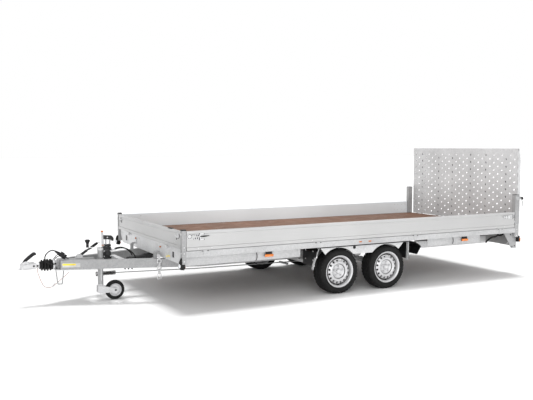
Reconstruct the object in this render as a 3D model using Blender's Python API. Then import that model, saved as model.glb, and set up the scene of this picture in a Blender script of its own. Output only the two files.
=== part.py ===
"""Tilting car hauler trailer with side boards, mesh ramp, tandem axle and overrun drawbar."""
import math

import bmesh
import bpy
from mathutils import Matrix, Vector

# Driving dimensions, in metres. Stations X run forward from the bed's front face,
# Y to the trailer's left and Z up from the ground.
GAP = 0.0003
SWING_GAP = 0.006

# Bed
BED_LENGTH = 4.68
BED_WIDTH = 2.20
FLOOR_TOP = 0.650
FLOOR_THICK = 0.018
RAIL_BOTTOM = 0.558
RAIL_HEIGHT = 0.062
RAIL_WALL = 0.004
RAIL_FLANGE = 0.036
BOARD_HEIGHT = 0.199
BOARD_THICK = 0.025
HINGE_OUT = 0.003
HINGE_DROP = 0.0015
KNUCKLE_RADIUS = 0.005
HINGE_STATIONS = (-0.251, -1.605, -2.967, -4.352)
FRONT_HINGE_INSET = 0.45
POST_SIZE = 0.045
REAR_POST_LENGTH = 0.070
REAR_POST_WIDTH = 0.055
BEAM_CORNER_INSET = 0.145
FRONT_POST_TOP = 0.835
REAR_POST_TOP = 1.046
FOOT_BOTTOM = 0.352
FOOT_FRONT = -4.458
FOOT_TOE = -4.60
FOOT_INNER = 0.050
FOOT_OUTER = 0.038
FRONT_BEAM_BOTTOM = 0.480
FRONT_BEAM_DEPTH = 0.039
FRONT_BEAM_SETBACK = 0.021
REAR_BEAM_BOTTOM = 0.390
REAR_BEAM_DEPTH = 0.057
CROSS_BOTTOM = 0.472
CROSS_LOW_BOTTOM = 0.565
CROSS_FLANGE = 0.045
CROSS_WALL = 0.004
CROSS_STATIONS = (-0.89, -3.56)
CROSS_LOW_STATIONS = (-1.45, -2.00, -2.55, -3.05, -4.10)
STRINGER_Y = 0.45
STRINGER_WIDTH = 0.06

# Ramp
RAMP_SIDE_GAP = 0.002
RAMP_HEIGHT = 0.995
RAMP_SHEET = 0.006
RAMP_DEPTH = 0.050
RAMP_RIB = 0.030
RAMP_RIB_SHARES = (0.177, 0.455, 0.796)
HOLE_PITCH_Y = 0.146
HOLE_PITCH_Z = 0.050
HOLE_LONG = 0.036
HOLE_WIDE = 0.014
HOLE_LEAN = 25.0
HOLE_COLUMNS = 14
HOLE_ROWS = 18
RAMP_HINGE_X = -4.70
RAMP_HINGE_Z = 0.620
RAMP_KNUCKLE = 0.014
RAMP_KNUCKLE_SHARES = (0.43, 0.86)

# Chassis
BEAM_TOP = 0.465
BEAM_HEIGHT = 0.095
BEAM_WIDTH = 0.060
BEAM_Y = 0.570
BEAM_BEND = -0.42
BEAM_REAR = -3.345
BEAM_NOSE = 0.98
BEAM_NOSE_Y = 0.074
PIVOT_X = -3.30
PIVOT_Z = 0.420
PIVOT_PIN = 0.015
PIVOT_TUBE = 0.030
EAR_THICK = 0.012
EAR_GAP = 0.0055

# Running gear
AXLES = {"front": -1.94, "rear": -2.61}
WHEEL_SIDES = 20
RIM_SIDES = 16
TYRE_RADIUS = 0.258
TYRE_WIDTH = 0.195
RIM_RADIUS = 0.1825
RIM_WELL = 0.1662
RIM_WIDTH = 0.1744
RIM_PLANE_Y = 1.030
VENT_COUNT = 12
VENT_RADIUS = 0.009
VENT_CIRCLE = 0.104
DRUM_RADIUS = 0.128
AXLE_TUBE = 0.030
AXLE_LEAD = 0.15
AXLE_TUBE_Z = 0.320
GUARD_TOP = 0.541
GUARD_FRONT = -1.62
GUARD_REAR = -2.93
GUARD_INNER_Y = 0.750
GUARD_BOTTOM = 0.330
GUARD_THICK = 0.006

# Drawbar fittings
SHAFT_Z = 0.418
HOUSING_REAR = 0.60
HOUSING_FRONT = 1.046
HOUSING_HALF = 0.038
BELLOWS_FRONT = 1.176
BELLOWS_RADIUS = 0.056
NOSE_X = 1.385
BALL_X = 1.335
BALL_RADIUS = 0.026
HEAD_BOTTOM = 0.385
HEAD_TOP = 0.455
PLATE_THICK = 0.010
PUMP_FROM = 0.41
PUMP_TO = 0.51
PUMP_TOP = 0.570
CROSS_TOP = 0.440
JOCKEY_X = 0.555
JOCKEY_Y = 0.10
JOCKEY_TUBE = 0.030
JOCKEY_TOP = 0.575
JOCKEY_TUBE_BOTTOM = 0.170
JOCKEY_WHEEL_X = 0.40
JOCKEY_RADIUS = 0.107
JOCKEY_SIDES = 20

# Tipping cylinder, from its pin on the chassis to its eye on the bed
CYL_BASE = (0.25, 0.405)
CYL_EYE = (-0.79, 0.530)
CYL_RADIUS = 0.035
ROD_RADIUS = 0.016
BORE_RADIUS = 0.0166
CYL_LENGTH = 0.62
ROD_INSIDE = 0.40
CYL_PIN = 0.010
EYE_HALF = 0.022

# Places worked out from the dimensions
HALF = BED_WIDTH / 2
RAMP_HALF = HALF - REAR_POST_WIDTH - RAMP_SIDE_GAP
FRONT_HINGE_Y = HALF - FRONT_HINGE_INSET
RAIL_TOP = RAIL_BOTTOM + RAIL_HEIGHT
BOARD_BOTTOM = RAIL_TOP + SWING_GAP
FRONT_BOARD_BOTTOM = 0.639
FLOOR_BOTTOM = FLOOR_TOP - FLOOR_THICK
DECK_FRAME_TOP = FLOOR_BOTTOM - GAP
REAR_POST_FRONT = -BED_LENGTH + REAR_POST_LENGTH
BEAM_BOTTOM = BEAM_TOP - BEAM_HEIGHT
TAIL_X = RAMP_HINGE_X - RAMP_DEPTH
ORIGIN_X = (NOSE_X + TAIL_X) / 2
WHEEL_Z = TYRE_RADIUS * math.cos(math.pi / WHEEL_SIDES)
WHEEL_Y = RIM_PLANE_Y - RIM_WIDTH / 2
JOCKEY_Z = JOCKEY_RADIUS * math.cos(math.pi / JOCKEY_SIDES)

COLOURS = {
    "galvanised": ((0.52, 0.54, 0.55), 0.45, 0.85),
    "plywood": ((0.16, 0.09, 0.06), 0.6, 0.0),
    "aluminium": ((0.62, 0.64, 0.66), 0.35, 0.9),
    "black": ((0.02, 0.02, 0.02), 0.5, 0.0),
    "tyre": ((0.025, 0.025, 0.027), 0.8, 0.0),
    "silver": ((0.6, 0.61, 0.63), 0.35, 0.8),
    "orange": ((0.9, 0.3, 0.03), 0.25, 0.0),
    "white": ((0.85, 0.86, 0.88), 0.2, 0.0),
    "red": ((0.6, 0.02, 0.02), 0.25, 0.0),
}


# Mesh helpers: each makes one closed shape as a mesh in trailer stations
def mesh_from(points, faces):
    mesh = bpy.data.meshes.new("shape")
    mesh.from_pydata([tuple(p) for p in points], [], faces)
    work = bmesh.new()
    work.from_mesh(mesh)
    bmesh.ops.remove_doubles(work, verts=work.verts, dist=0.00001)
    bmesh.ops.recalc_face_normals(work, faces=work.faces)
    if work.calc_volume(signed=True) < 0:
        bmesh.ops.reverse_faces(work, faces=work.faces)
    work.to_mesh(mesh)
    work.free()
    return mesh


def loft(rings):
    """Closed skin through rings of as many points, with flat ends."""
    count = len(rings[0])
    points = [p for ring in rings for p in ring]
    faces = [list(range(count))[::-1]]
    faces.append([len(points) - count + i for i in range(count)])
    for level in range(len(rings) - 1):
        low = level * count
        for i in range(count):
            j = (i + 1) % count
            faces.append([low + i, low + j, low + count + j, low + count + i])
    return mesh_from(points, faces)


def box(x, y, z):
    rings = [[(a, y[0], z[0]), (a, y[1], z[0]), (a, y[1], z[1]), (a, y[0], z[1])] for a in x]
    return loft(rings)


def prism(outline, axis, low, high):
    """Outline of two coordinates swept along the third, named by its axis letter."""
    order = {"x": lambda a, p: (a, p[0], p[1]),
             "y": lambda a, p: (p[0], a, p[1]),
             "z": lambda a, p: (p[0], p[1], a)}[axis]
    return loft([[order(a, p) for p in outline] for a in (low, high)])


def turned(profile, centre, axis, sides, turn=0.5):
    """Profile of (radius, place along axis) turned about an axis through centre."""
    spin = Vector(axis).to_track_quat("Z", "Y").to_matrix().to_4x4()
    frame = Matrix.Translation(centre) @ spin
    rings = []
    for k in range(sides):
        a = 2 * math.pi * (k + turn) / sides
        ring = [frame @ Vector((r * math.cos(a), r * math.sin(a), h)) for r, h in profile]
        rings.append(ring)
    count = len(profile)
    closed = profile[0][0] > 0
    points = [p for ring in rings for p in ring]
    faces = []
    for k in range(sides):
        n = (k + 1) % sides
        for i in range(count if closed else count - 1):
            j = (i + 1) % count
            faces.append([k * count + i, n * count + i, n * count + j, k * count + j])
    mesh = bpy.data.meshes.new("turned")
    mesh.from_pydata([tuple(p) for p in points], [], faces)
    work = bmesh.new()
    work.from_mesh(mesh)
    bmesh.ops.remove_doubles(work, verts=work.verts, dist=0.00001)
    bmesh.ops.dissolve_degenerate(work, edges=work.edges, dist=0.00001)
    bmesh.ops.recalc_face_normals(work, faces=work.faces)
    if work.calc_volume(signed=True) < 0:
        bmesh.ops.reverse_faces(work, faces=work.faces)
    work.to_mesh(mesh)
    work.free()
    return mesh


def rod(start, end, radius, sides=12):
    start = Vector(start)
    length = (Vector(end) - start).length
    profile = [(0, 0), (radius, 0), (radius, length), (0, length)]
    return turned(profile, start, Vector(end) - start, sides)


def bent_rod(points, radius, sides=8):
    """Round bar along points, mitred at each bend."""
    points = [Vector(p) for p in points]
    rings = []
    side = None
    for i, p in enumerate(points):
        before = (p - points[i - 1]).normalized() if i else (points[1] - p).normalized()
        after = (points[i + 1] - p).normalized() if i + 1 < len(points) else before
        along = (before + after).normalized()
        if side is None:
            side = along.orthogonal().normalized()
        side = (side - along * side.dot(along)).normalized()
        up = along.cross(side)
        angles = [2 * math.pi * (k + 0.5) / sides for k in range(sides)]
        rings.append([p + radius * (side * math.cos(a) + up * math.sin(a)) for a in angles])
    return loft(rings)


def smooth(points, steps):
    """Points of a Catmull-Rom curve through the route's points."""
    route = [Vector(p) for p in points]
    ends = [route[0] * 2 - route[1]] + route + [route[-1] * 2 - route[-2]]
    result = []
    for i in range(1, len(ends) - 2):
        a, b, c, d = ends[i - 1:i + 3]
        for k in range(steps):
            t = k / steps
            curve = b * 2 + (c - a) * t + (a * 2 - b * 5 + c * 4 - d) * t ** 2
            result.append((curve + (b * 3 - a - c * 3 + d) * t ** 3) / 2)
    return result + [route[-1]]


def arc(centre, radius, start, end, steps):
    angles = [math.radians(start + (end - start) * k / steps) for k in range(steps + 1)]
    return [(centre[0] + radius * math.cos(a), centre[1] + radius * math.sin(a)) for a in angles]


def material_for(name, finish):
    colour, roughness, metallic = COLOURS[finish]
    material = bpy.data.materials.new(name)
    material.use_nodes = True
    shader = material.node_tree.nodes["Principled BSDF"]
    shader.inputs["Base Color"].default_value = (*colour, 1)
    shader.inputs["Roughness"].default_value = roughness
    shader.inputs["Metallic"].default_value = metallic
    return material


def node(name, finish, solids, cuts=(), origin=(0, 0, 0)):
    """Join the solids, take the cuts away and place the result on its own origin."""
    base = bpy.data.objects.new(name, solids[0])
    bpy.context.scene.collection.objects.link(base)
    helpers = []
    for operation, meshes in (("UNION", solids[1:]), ("DIFFERENCE", cuts)):
        for mesh in meshes:
            helper = bpy.data.objects.new("helper", mesh)
            bpy.context.scene.collection.objects.link(helper)
            helpers.append(helper)
            step = base.modifiers.new(operation, "BOOLEAN")
            step.operation = operation
            step.object = helper
    if helpers:
        graph = bpy.context.evaluated_depsgraph_get()
        result = bpy.data.meshes.new_from_object(base.evaluated_get(graph))
        base.modifiers.clear()
        base.data = result
    for helper in helpers:
        bpy.data.objects.remove(helper)
    base.data.name = name
    base.data.transform(Matrix.Translation((-origin[0], -origin[1], -origin[2])))
    base.location = (origin[0] - ORIGIN_X, origin[1], origin[2])
    base.data.materials.clear()
    base.data.materials.append(material_for(name, finish))
    base.data.shade_smooth()
    base.data.set_sharp_from_angle(angle=math.radians(32))
    return base


def mirror_y(pairs, side):
    """Outline points of (y, z) placed on one side; side is 1 for left and -1 for right."""
    return [(side * y, z) for y, z in pairs]


def span(side, low, high):
    return sorted((side * low, side * high))


# Bed
def knuckles(station, axis_y, axis_z, side):
    """Hinge pieces of a side board at one station: the rail's leaf and the board's two barrels."""
    inner, outer = side * (HALF - 0.002), side * (axis_y + 0.0025)
    leaf = box((station - 0.02, station + 0.02), sorted((inner, outer)), (RAIL_BOTTOM + 0.015, axis_z))
    barrels = []
    for start in (station - 0.05, station + 0.02 + GAP):
        centre = (start, side * axis_y, axis_z)
        end = (start + 0.03 - GAP, side * axis_y, axis_z)
        barrels.append(rod(centre, end, KNUCKLE_RADIUS, 6))
    return leaf, barrels


def make_rail(name, side):
    low, high = RAIL_BOTTOM, RAIL_TOP
    wall, lip = RAIL_WALL, HALF - 0.0305
    outline = [(HALF, low), (HALF, high), (lip, high), (lip, DECK_FRAME_TOP),
               (lip - RAIL_FLANGE, DECK_FRAME_TOP), (lip - RAIL_FLANGE, DECK_FRAME_TOP - wall),
               (lip - wall, DECK_FRAME_TOP - wall), (lip - wall, high - wall),
               (HALF - wall, high - wall), (HALF - wall, low + wall),
               (HALF - 0.04, low + wall), (HALF - 0.04, low)]
    rail = prism(mirror_y(outline, side), "x", REAR_POST_FRONT + GAP, -POST_SIZE - GAP)
    leaves = [knuckles(x, HALF + HINGE_OUT, BOARD_BOTTOM - HINGE_DROP, side)[0] for x in HINGE_STATIONS]
    return node(name, "galvanised", [rail] + leaves)


def make_posts(name, side):
    """Corner posts of one side, with the plate that the rear one stands on when the bed is tilted."""
    width = span(side, HALF - POST_SIZE, HALF)
    front = box((-POST_SIZE, 0), width, (FRONT_BEAM_BOTTOM + 0.01, FRONT_POST_TOP))
    node("post_front_" + name, "galvanised", [front])
    rear_width = span(side, HALF - REAR_POST_WIDTH, HALF)
    rear = box((-BED_LENGTH, REAR_POST_FRONT), rear_width, (RAIL_BOTTOM - 0.06, REAR_POST_TOP))
    foot_top = RAIL_BOTTOM - GAP
    foot_outline = [(FOOT_FRONT, foot_top), (FOOT_TOE, FOOT_BOTTOM), (-BED_LENGTH, FOOT_BOTTOM),
                    (-BED_LENGTH, foot_top)]
    foot = prism(foot_outline, "y", *span(side, HALF - FOOT_INNER, HALF - FOOT_OUTER))
    node("post_rear_" + name, "galvanised", [rear, foot])


def make_side_board(name, side):
    axis_y, axis_z = HALF + HINGE_OUT, BOARD_BOTTOM - HINGE_DROP
    ends = (REAR_POST_FRONT + SWING_GAP, -POST_SIZE - SWING_GAP)
    top = BOARD_BOTTOM + BOARD_HEIGHT
    inner, face = HALF - BOARD_THICK, HALF
    lip = 0.006
    outline = [(inner, BOARD_BOTTOM), (face, BOARD_BOTTOM), (face, BOARD_BOTTOM + 0.03),
               (face - lip, BOARD_BOTTOM + 0.036), (face - lip, top - 0.036), (face, top - 0.03),
               (face, top - 0.006), (face - 0.006, top), (inner + 0.006, top), (inner, top - 0.006)]
    board = prism(mirror_y(outline, side), "x", *ends)
    parts = [board]
    for x in HINGE_STATIONS:
        parts += knuckles(x, axis_y, axis_z, side)[1]
    latch_z = BOARD_BOTTOM + 0.141
    boss = rod((-0.12, side * (face - 0.008), latch_z), (-0.12, side * (face + 0.012), latch_z), 0.02, 12)
    lever = box((-0.19, -0.12), span(side, face + 0.002, face + 0.009), (latch_z - 0.008, latch_z + 0.004))
    strap_outline = [(ends[0] + 0.008, latch_z - 0.027), (ends[0] + 0.19, latch_z - 0.012),
                     (ends[0] + 0.205, latch_z), (ends[0] + 0.19, latch_z + 0.012),
                     (ends[0] + 0.008, latch_z + 0.027)]
    strap = prism(strap_outline, "y", *span(side, face - 0.008, face + 0.004))
    return node(name, "aluminium", parts + [boss, lever, strap], origin=(0, side * axis_y, axis_z))


def make_front_board():
    axis_x, axis_z = HINGE_OUT, FRONT_BOARD_BOTTOM - HINGE_DROP
    reach = HALF - POST_SIZE - SWING_GAP
    top = BOARD_BOTTOM + BOARD_HEIGHT
    low = FRONT_BOARD_BOTTOM
    outline = [(-BOARD_THICK, low), (0, low), (0, low + 0.03), (-0.006, low + 0.036),
               (-0.006, top - 0.036), (0, top - 0.03), (0, top - 0.006), (-0.006, top),
               (-BOARD_THICK + 0.006, top), (-BOARD_THICK, top - 0.006)]
    parts = [prism(outline, "y", -reach, reach)]
    for y in (-FRONT_HINGE_Y, FRONT_HINGE_Y):
        for start in (y - 0.05, y + 0.02 + GAP):
            parts.append(rod((axis_x, start, axis_z), (axis_x, start + 0.03 - GAP, axis_z), KNUCKLE_RADIUS, 6))
    return node("front_board", "aluminium", parts, origin=(axis_x, 0, axis_z))


def make_front_beam():
    top = FRONT_BOARD_BOTTOM - SWING_GAP
    face, back = -FRONT_BEAM_SETBACK, -FRONT_BEAM_SETBACK - FRONT_BEAM_DEPTH
    reach = HALF - 0.0305 - RAIL_FLANGE - GAP
    low = HALF - BEAM_CORNER_INSET
    outline = [(-reach, top), (reach, top), (reach, 0.58), (low, FRONT_BEAM_BOTTOM),
               (-low, FRONT_BEAM_BOTTOM), (-reach, 0.58)]
    beam = prism(outline, "x", back, face)
    leaves = [box((face - 0.004, HINGE_OUT + 0.0025), (y - 0.02, y + 0.02), (top - 0.03, top + 0.0045))
              for y in (-FRONT_HINGE_Y, FRONT_HINGE_Y)]
    holes = [box((back - 0.01, face + 0.01), (y - 0.012, y + 0.012), (0.52, 0.58)) for y in (-HALF + 0.323, HALF - 0.323)]
    return node("front_beam", "galvanised", [beam] + leaves, holes)


def channel(station, bottom, reach):
    """Cross-member of C section, open to the front."""
    wall, front, back = CROSS_WALL, station + CROSS_FLANGE / 2, station - CROSS_FLANGE / 2
    top = DECK_FRAME_TOP
    outline = [(back, bottom), (front, bottom), (front, bottom + wall), (back + wall, bottom + wall),
               (back + wall, top - wall), (front, top - wall), (front, top), (back, top)]
    return prism(outline, "y", -reach, reach)


def make_bed_frame():
    reach = HALF - 0.0305 - RAIL_FLANGE - GAP
    tail = -BED_LENGTH + 0.0175 + REAR_BEAM_DEPTH + GAP
    front = -FRONT_BEAM_SETBACK - FRONT_BEAM_DEPTH - GAP
    parts = [channel(CROSS_STATIONS[0], CROSS_BOTTOM, reach)]
    parts.append(channel(CROSS_STATIONS[1], BEAM_TOP - 0.005, reach))
    parts += [channel(x, CROSS_LOW_BOTTOM, reach) for x in CROSS_LOW_STATIONS]
    outer = BEAM_Y + BEAM_WIDTH / 2
    inner_ear = outer + EAR_GAP
    for side in (1, -1):
        y = span(side, STRINGER_Y - STRINGER_WIDTH / 2, STRINGER_Y + STRINGER_WIDTH / 2)
        parts.append(box((tail, front), y, (CROSS_LOW_BOTTOM, DECK_FRAME_TOP)))
        y = span(side, BEAM_Y - BEAM_WIDTH / 2, outer)
        parts.append(box((tail, PIVOT_X - 0.12), y, (BEAM_BOTTOM, BEAM_TOP)))
        ear = [(PIVOT_X - 0.30, BEAM_BOTTOM + 0.005), (PIVOT_X, PIVOT_Z - 0.045), (PIVOT_X + 0.032, PIVOT_Z - 0.032),
               (PIVOT_X + 0.045, PIVOT_Z), (PIVOT_X + 0.032, PIVOT_Z + 0.032), (PIVOT_X, PIVOT_Z + 0.045),
               (PIVOT_X - 0.30, BEAM_TOP - 0.005)]
        parts.append(prism(ear, "y", *span(side, inner_ear, inner_ear + EAR_THICK)))
        parts.append(box((PIVOT_X - 0.29, PIVOT_X - 0.13), span(side, outer - 0.01, inner_ear + 0.004),
                         (BEAM_BOTTOM + 0.012, BEAM_TOP - 0.012)))
        cheek_x = (CROSS_STATIONS[0] + CROSS_FLANGE / 2 - 0.010, CYL_EYE[0] + 0.025)
        parts.append(box(cheek_x, span(side, 0.030, 0.040), (CYL_EYE[1] - 0.030, DECK_FRAME_TOP)))
        pad = box((CROSS_STATIONS[0] - 0.02, CROSS_STATIONS[0] + 0.02),
                  span(side, BEAM_Y - 0.03, BEAM_Y + 0.03), (BEAM_TOP + GAP, CROSS_BOTTOM + 0.002))
        parts.append(pad)
    bores = []
    for side in (1, -1):
        y = span(side, inner_ear - 0.01, inner_ear + EAR_THICK + 0.01)
        bores.append(rod((PIVOT_X, y[0], PIVOT_Z), (PIVOT_X, y[1], PIVOT_Z), PIVOT_PIN + 0.0006, 16))
    return node("bed_frame", "galvanised", parts, bores)


def make_rear_beam():
    back = -BED_LENGTH + 0.0175
    front = back + REAR_BEAM_DEPTH
    reach = HALF - REAR_POST_WIDTH - GAP
    top = DECK_FRAME_TOP - 0.01
    low = HALF - BEAM_CORNER_INSET
    beam = prism([(-reach, top), (-reach, 0.50), (-low, REAR_BEAM_BOTTOM), (low, REAR_BEAM_BOTTOM),
                  (reach, 0.50), (reach, top)], "x", back, front)
    parts = [beam]
    for share in RAMP_KNUCKLE_SHARES:
        y = share * RAMP_HALF
        for side in (1, -1):
            lug_y = span(side, y - 0.03, y + 0.03)
            parts.append(box((RAMP_HINGE_X, back + 0.01), lug_y,
                             (RAMP_HINGE_Z - RAMP_KNUCKLE, RAMP_HINGE_Z + 0.0)))
            parts.append(rod((RAMP_HINGE_X, lug_y[0], RAMP_HINGE_Z), (RAMP_HINGE_X, lug_y[1], RAMP_HINGE_Z),
                             RAMP_KNUCKLE, 8))
    return node("rear_beam", "galvanised", parts)


def make_floor():
    reach = HALF - 0.0305 - GAP
    tail = -BED_LENGTH + 0.0175
    floor = box((tail, -FRONT_BEAM_SETBACK - FRONT_BEAM_DEPTH - GAP), (-reach, reach), (FLOOR_BOTTOM, FLOOR_TOP))
    corners = [box((tail - 0.01, REAR_POST_FRONT + 0.001), span(s, HALF - 0.056, HALF), (0.6, 0.7))
               for s in (1, -1)]
    corners += [box((-POST_SIZE - 0.001, 0.01), span(s, HALF - POST_SIZE - 0.001, HALF), (0.6, 0.7))
                for s in (1, -1)]
    return node("floor", "plywood", [floor], corners)


def ramp_holes(places, low, front):
    """One cutter of slanted diamonds: rows stand half a pitch apart, and none is cut over a rib."""
    points, faces = [], []
    lean = math.radians(HOLE_LEAN)
    depths = (front + 0.004, front - RAMP_SHEET - 0.0015)
    for row in range(HOLE_ROWS):
        z = low + 0.055 + HOLE_PITCH_Z * (row + 0.5)
        for column in range(HOLE_COLUMNS):
            y = HOLE_PITCH_Y * (column - (HOLE_COLUMNS - 1) / 2 + (0.25 if row % 2 else -0.25))
            if min(abs(y - place) for place in places) < RAMP_RIB / 2 + HOLE_WIDE * 0.75:
                continue
            first = len(points)
            for x in depths:
                for k in range(4):
                    a = math.pi * k / 2
                    wide, tall = HOLE_WIDE / 2 * math.cos(a), HOLE_LONG / 2 * math.sin(a)
                    points.append((x, y + wide * math.cos(lean) - tall * math.sin(lean),
                                   z + wide * math.sin(lean) + tall * math.cos(lean)))
            faces += [[first, first + 1, first + 2, first + 3], [first + 7, first + 6, first + 5, first + 4]]
            faces += [[first + k, first + 4 + k, first + 4 + (k + 1) % 4, first + (k + 1) % 4] for k in range(4)]
    return mesh_from(points, faces)


def make_ramp():
    half = RAMP_HALF
    front, back = RAMP_HINGE_X, RAMP_HINGE_X - RAMP_DEPTH
    low, top = RAMP_HINGE_Z + 0.03, RAMP_HINGE_Z + 0.03 + RAMP_HEIGHT
    parts = [box((front - RAMP_SHEET, front), (-half, half), (low, top))]
    rib = [(front - 0.002, low), (front - 0.002, top), (front - 0.012, top), (back + 0.006, top - 0.11),
           (back, top - 0.14), (back, low + 0.02), (back + 0.02, low)]
    places = [s * share * half for share in RAMP_RIB_SHARES for s in (1, -1)]
    places += [half - RAMP_RIB / 2, RAMP_RIB / 2 - half]
    for y in places:
        parts.append(prism(rib, "y", y - RAMP_RIB / 2, y + RAMP_RIB / 2))
    parts.append(box((front - 0.02, front - 0.003), (-half, half), (top - 0.03, top)))
    parts.append(box((front - 0.04, front - 0.003), (-half, half), (low, low + 0.03)))
    for share in RAMP_KNUCKLE_SHARES:
        y = share * half
        for side in (1, -1):
            for start in (y - 0.03 - GAP - 0.04, y + 0.03 + GAP):
                a, b = span(side, start, start + 0.04)
                parts.append(rod((front, a, RAMP_HINGE_Z), (front, b, RAMP_HINGE_Z), RAMP_KNUCKLE, 8))
                parts.append(box((front - 0.012, front - 0.002), (a, b), (RAMP_HINGE_Z, low + 0.01)))
    cutter = ramp_holes(places, low, front)
    return node("ramp", "galvanised", parts, [cutter], origin=(front, 0, RAMP_HINGE_Z))


def make_bed_lamps():
    for name, side in (("left", 1), ("right", -1)):
        post_y = span(side, HALF - 0.035, HALF + 0.015)
        node("position_lamp_" + name, "black",
             [box((-POST_SIZE + 0.002, -0.006), post_y, (0.405, FRONT_BEAM_BOTTOM + 0.01 - GAP))])
        for place, x in (("front", -1.01), ("rear", -3.79)):
            outline = [(x - 0.055, RAIL_BOTTOM - GAP), (x - 0.05, 0.495), (x + 0.05, 0.495),
                       (x + 0.055, RAIL_BOTTOM - GAP)]
            node("side_marker_" + place + "_" + name, "orange",
                 [prism(outline, "y", *span(side, HALF - 0.055, HALF - 0.025))])
        back = -BED_LENGTH + 0.0175
        lamp = [(back - GAP, 0.375), (back - 0.07, 0.38), (back - 0.08, 0.425), (back - 0.07, 0.47),
                (back - GAP, 0.475)]
        node("rear_lamp_" + name, "red", [prism(lamp, "y", *span(side, HALF - 0.31, HALF - 0.11))])


# Chassis
def make_beam(name, side):
    half = BEAM_WIDTH / 2
    slope = (BEAM_Y - BEAM_NOSE_Y) / (BEAM_NOSE - BEAM_BEND)
    lean = half * math.hypot(1, slope)
    shift = half * (math.hypot(1, slope) - 1) / slope
    outline = [(BEAM_REAR, BEAM_Y + half), (BEAM_BEND + shift, BEAM_Y + half), (BEAM_NOSE, BEAM_NOSE_Y + lean),
               (BEAM_NOSE, BEAM_NOSE_Y - lean), (BEAM_BEND - shift, BEAM_Y - half), (BEAM_REAR, BEAM_Y - half)]
    beam = prism([(x, side * y) for x, y in outline], "z", BEAM_BOTTOM, BEAM_TOP)
    pin_y = span(side, BEAM_Y, BEAM_Y + half + EAR_GAP + EAR_THICK + 0.01)
    pin = rod((PIVOT_X, pin_y[0], PIVOT_Z), (PIVOT_X, pin_y[1], PIVOT_Z), PIVOT_PIN, 16)
    latch_y = side * 0.405
    catch = [(0.055, BEAM_TOP - 0.01), (0.055, 0.525), (0.035, 0.545), (-0.006, 0.545), (-0.006, 0.532),
             (0.022, 0.528), (0.022, BEAM_TOP - 0.01)]
    latch = prism(catch, "y", latch_y - 0.015, latch_y + 0.015)
    hole = rod((-2.275, side * 0.5, 0.42), (-2.275, side * 0.64, 0.42), 0.0175, 12)
    return node(name, "galvanised", [beam, pin, latch], [hole])


def inner_edge(x):
    """Inner face of a drawbar beam at a station ahead of the bend."""
    slope = (BEAM_Y - BEAM_NOSE_Y) / (BEAM_NOSE - BEAM_BEND)
    return BEAM_NOSE_Y + (BEAM_NOSE - x) * slope - BEAM_WIDTH / 2 * math.hypot(1, slope)


def cross_plate(front, back, bottom, top):
    a, b = inner_edge(front) - GAP, inner_edge(back) - GAP
    return prism([(front, -a), (front, a), (back, b), (back, -b)], "z", bottom, top)


def make_crossmembers():
    reach = BEAM_Y - BEAM_WIDTH / 2 - GAP
    tube = rod((PIVOT_X, -reach, PIVOT_Z), (PIVOT_X, reach, PIVOT_Z), PIVOT_TUBE, 16)
    node("pivot_tube", "galvanised", [tube])
    node("pump_crossmember", "galvanised", [cross_plate(0.50, 0.42, BEAM_BOTTOM, CROSS_TOP)])
    base_x, base_z = CYL_BASE
    parts = [cross_plate(0.34, 0.28, BEAM_BOTTOM + 0.005, base_z + 0.03)]
    for side in (1, -1):
        ear = [(0.285, base_z - 0.02), (0.285, base_z + 0.025), (base_x, base_z + 0.022),
               (base_x - 0.018, base_z + 0.012), (base_x - 0.018, base_z - 0.012), (base_x, base_z - 0.02)]
        parts.append(prism(ear, "y", *span(side, 0.030, 0.040)))
    parts.append(rod((base_x, -0.035, base_z), (base_x, 0.035, base_z), CYL_PIN, 12))
    node("cylinder_crossmember", "galvanised", parts)


def make_cylinder():
    base = Vector((CYL_BASE[0], 0, CYL_BASE[1]))
    eye = Vector((CYL_EYE[0], 0, CYL_EYE[1]))
    along = (eye - base).normalized()
    reach = (eye - base).length
    ring = [(CYL_PIN + 0.0005, -EYE_HALF), (0.024, -EYE_HALF), (0.024, EYE_HALF), (CYL_PIN + 0.0005, EYE_HALF)]
    tube = [(0, 0.018), (0.026, 0.018), (CYL_RADIUS, 0.035), (CYL_RADIUS, CYL_LENGTH - 0.012),
            (CYL_RADIUS - 0.006, CYL_LENGTH), (0, CYL_LENGTH)]
    bore_depth = CYL_LENGTH - ROD_INSIDE
    tube_mesh = turned(tube, base, along, 16)
    bore = rod(base + along * bore_depth, base + along * (CYL_LENGTH + 0.01), BORE_RADIUS, 12)
    pin_hole = rod((CYL_BASE[0], -0.05, CYL_BASE[1]), (CYL_BASE[0], 0.05, CYL_BASE[1]), CYL_PIN + 0.0005, 12)
    node("cylinder_barrel", "black", [tube_mesh, turned(ring, base, (0, 1, 0), 12)], [bore, pin_hole],
         origin=tuple(base))
    rod_start = base + along * (CYL_LENGTH - ROD_INSIDE + 0.004)
    eye_ring = [(0.010, -EYE_HALF), (0.026, -EYE_HALF), (0.026, EYE_HALF), (0.010, EYE_HALF)]
    stem = rod(rod_start, base + along * (reach - 0.016), ROD_RADIUS, 12)
    node("cylinder_rod", "silver", [stem, turned(eye_ring, eye, (0, 1, 0), 12)], origin=tuple(eye))


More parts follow.
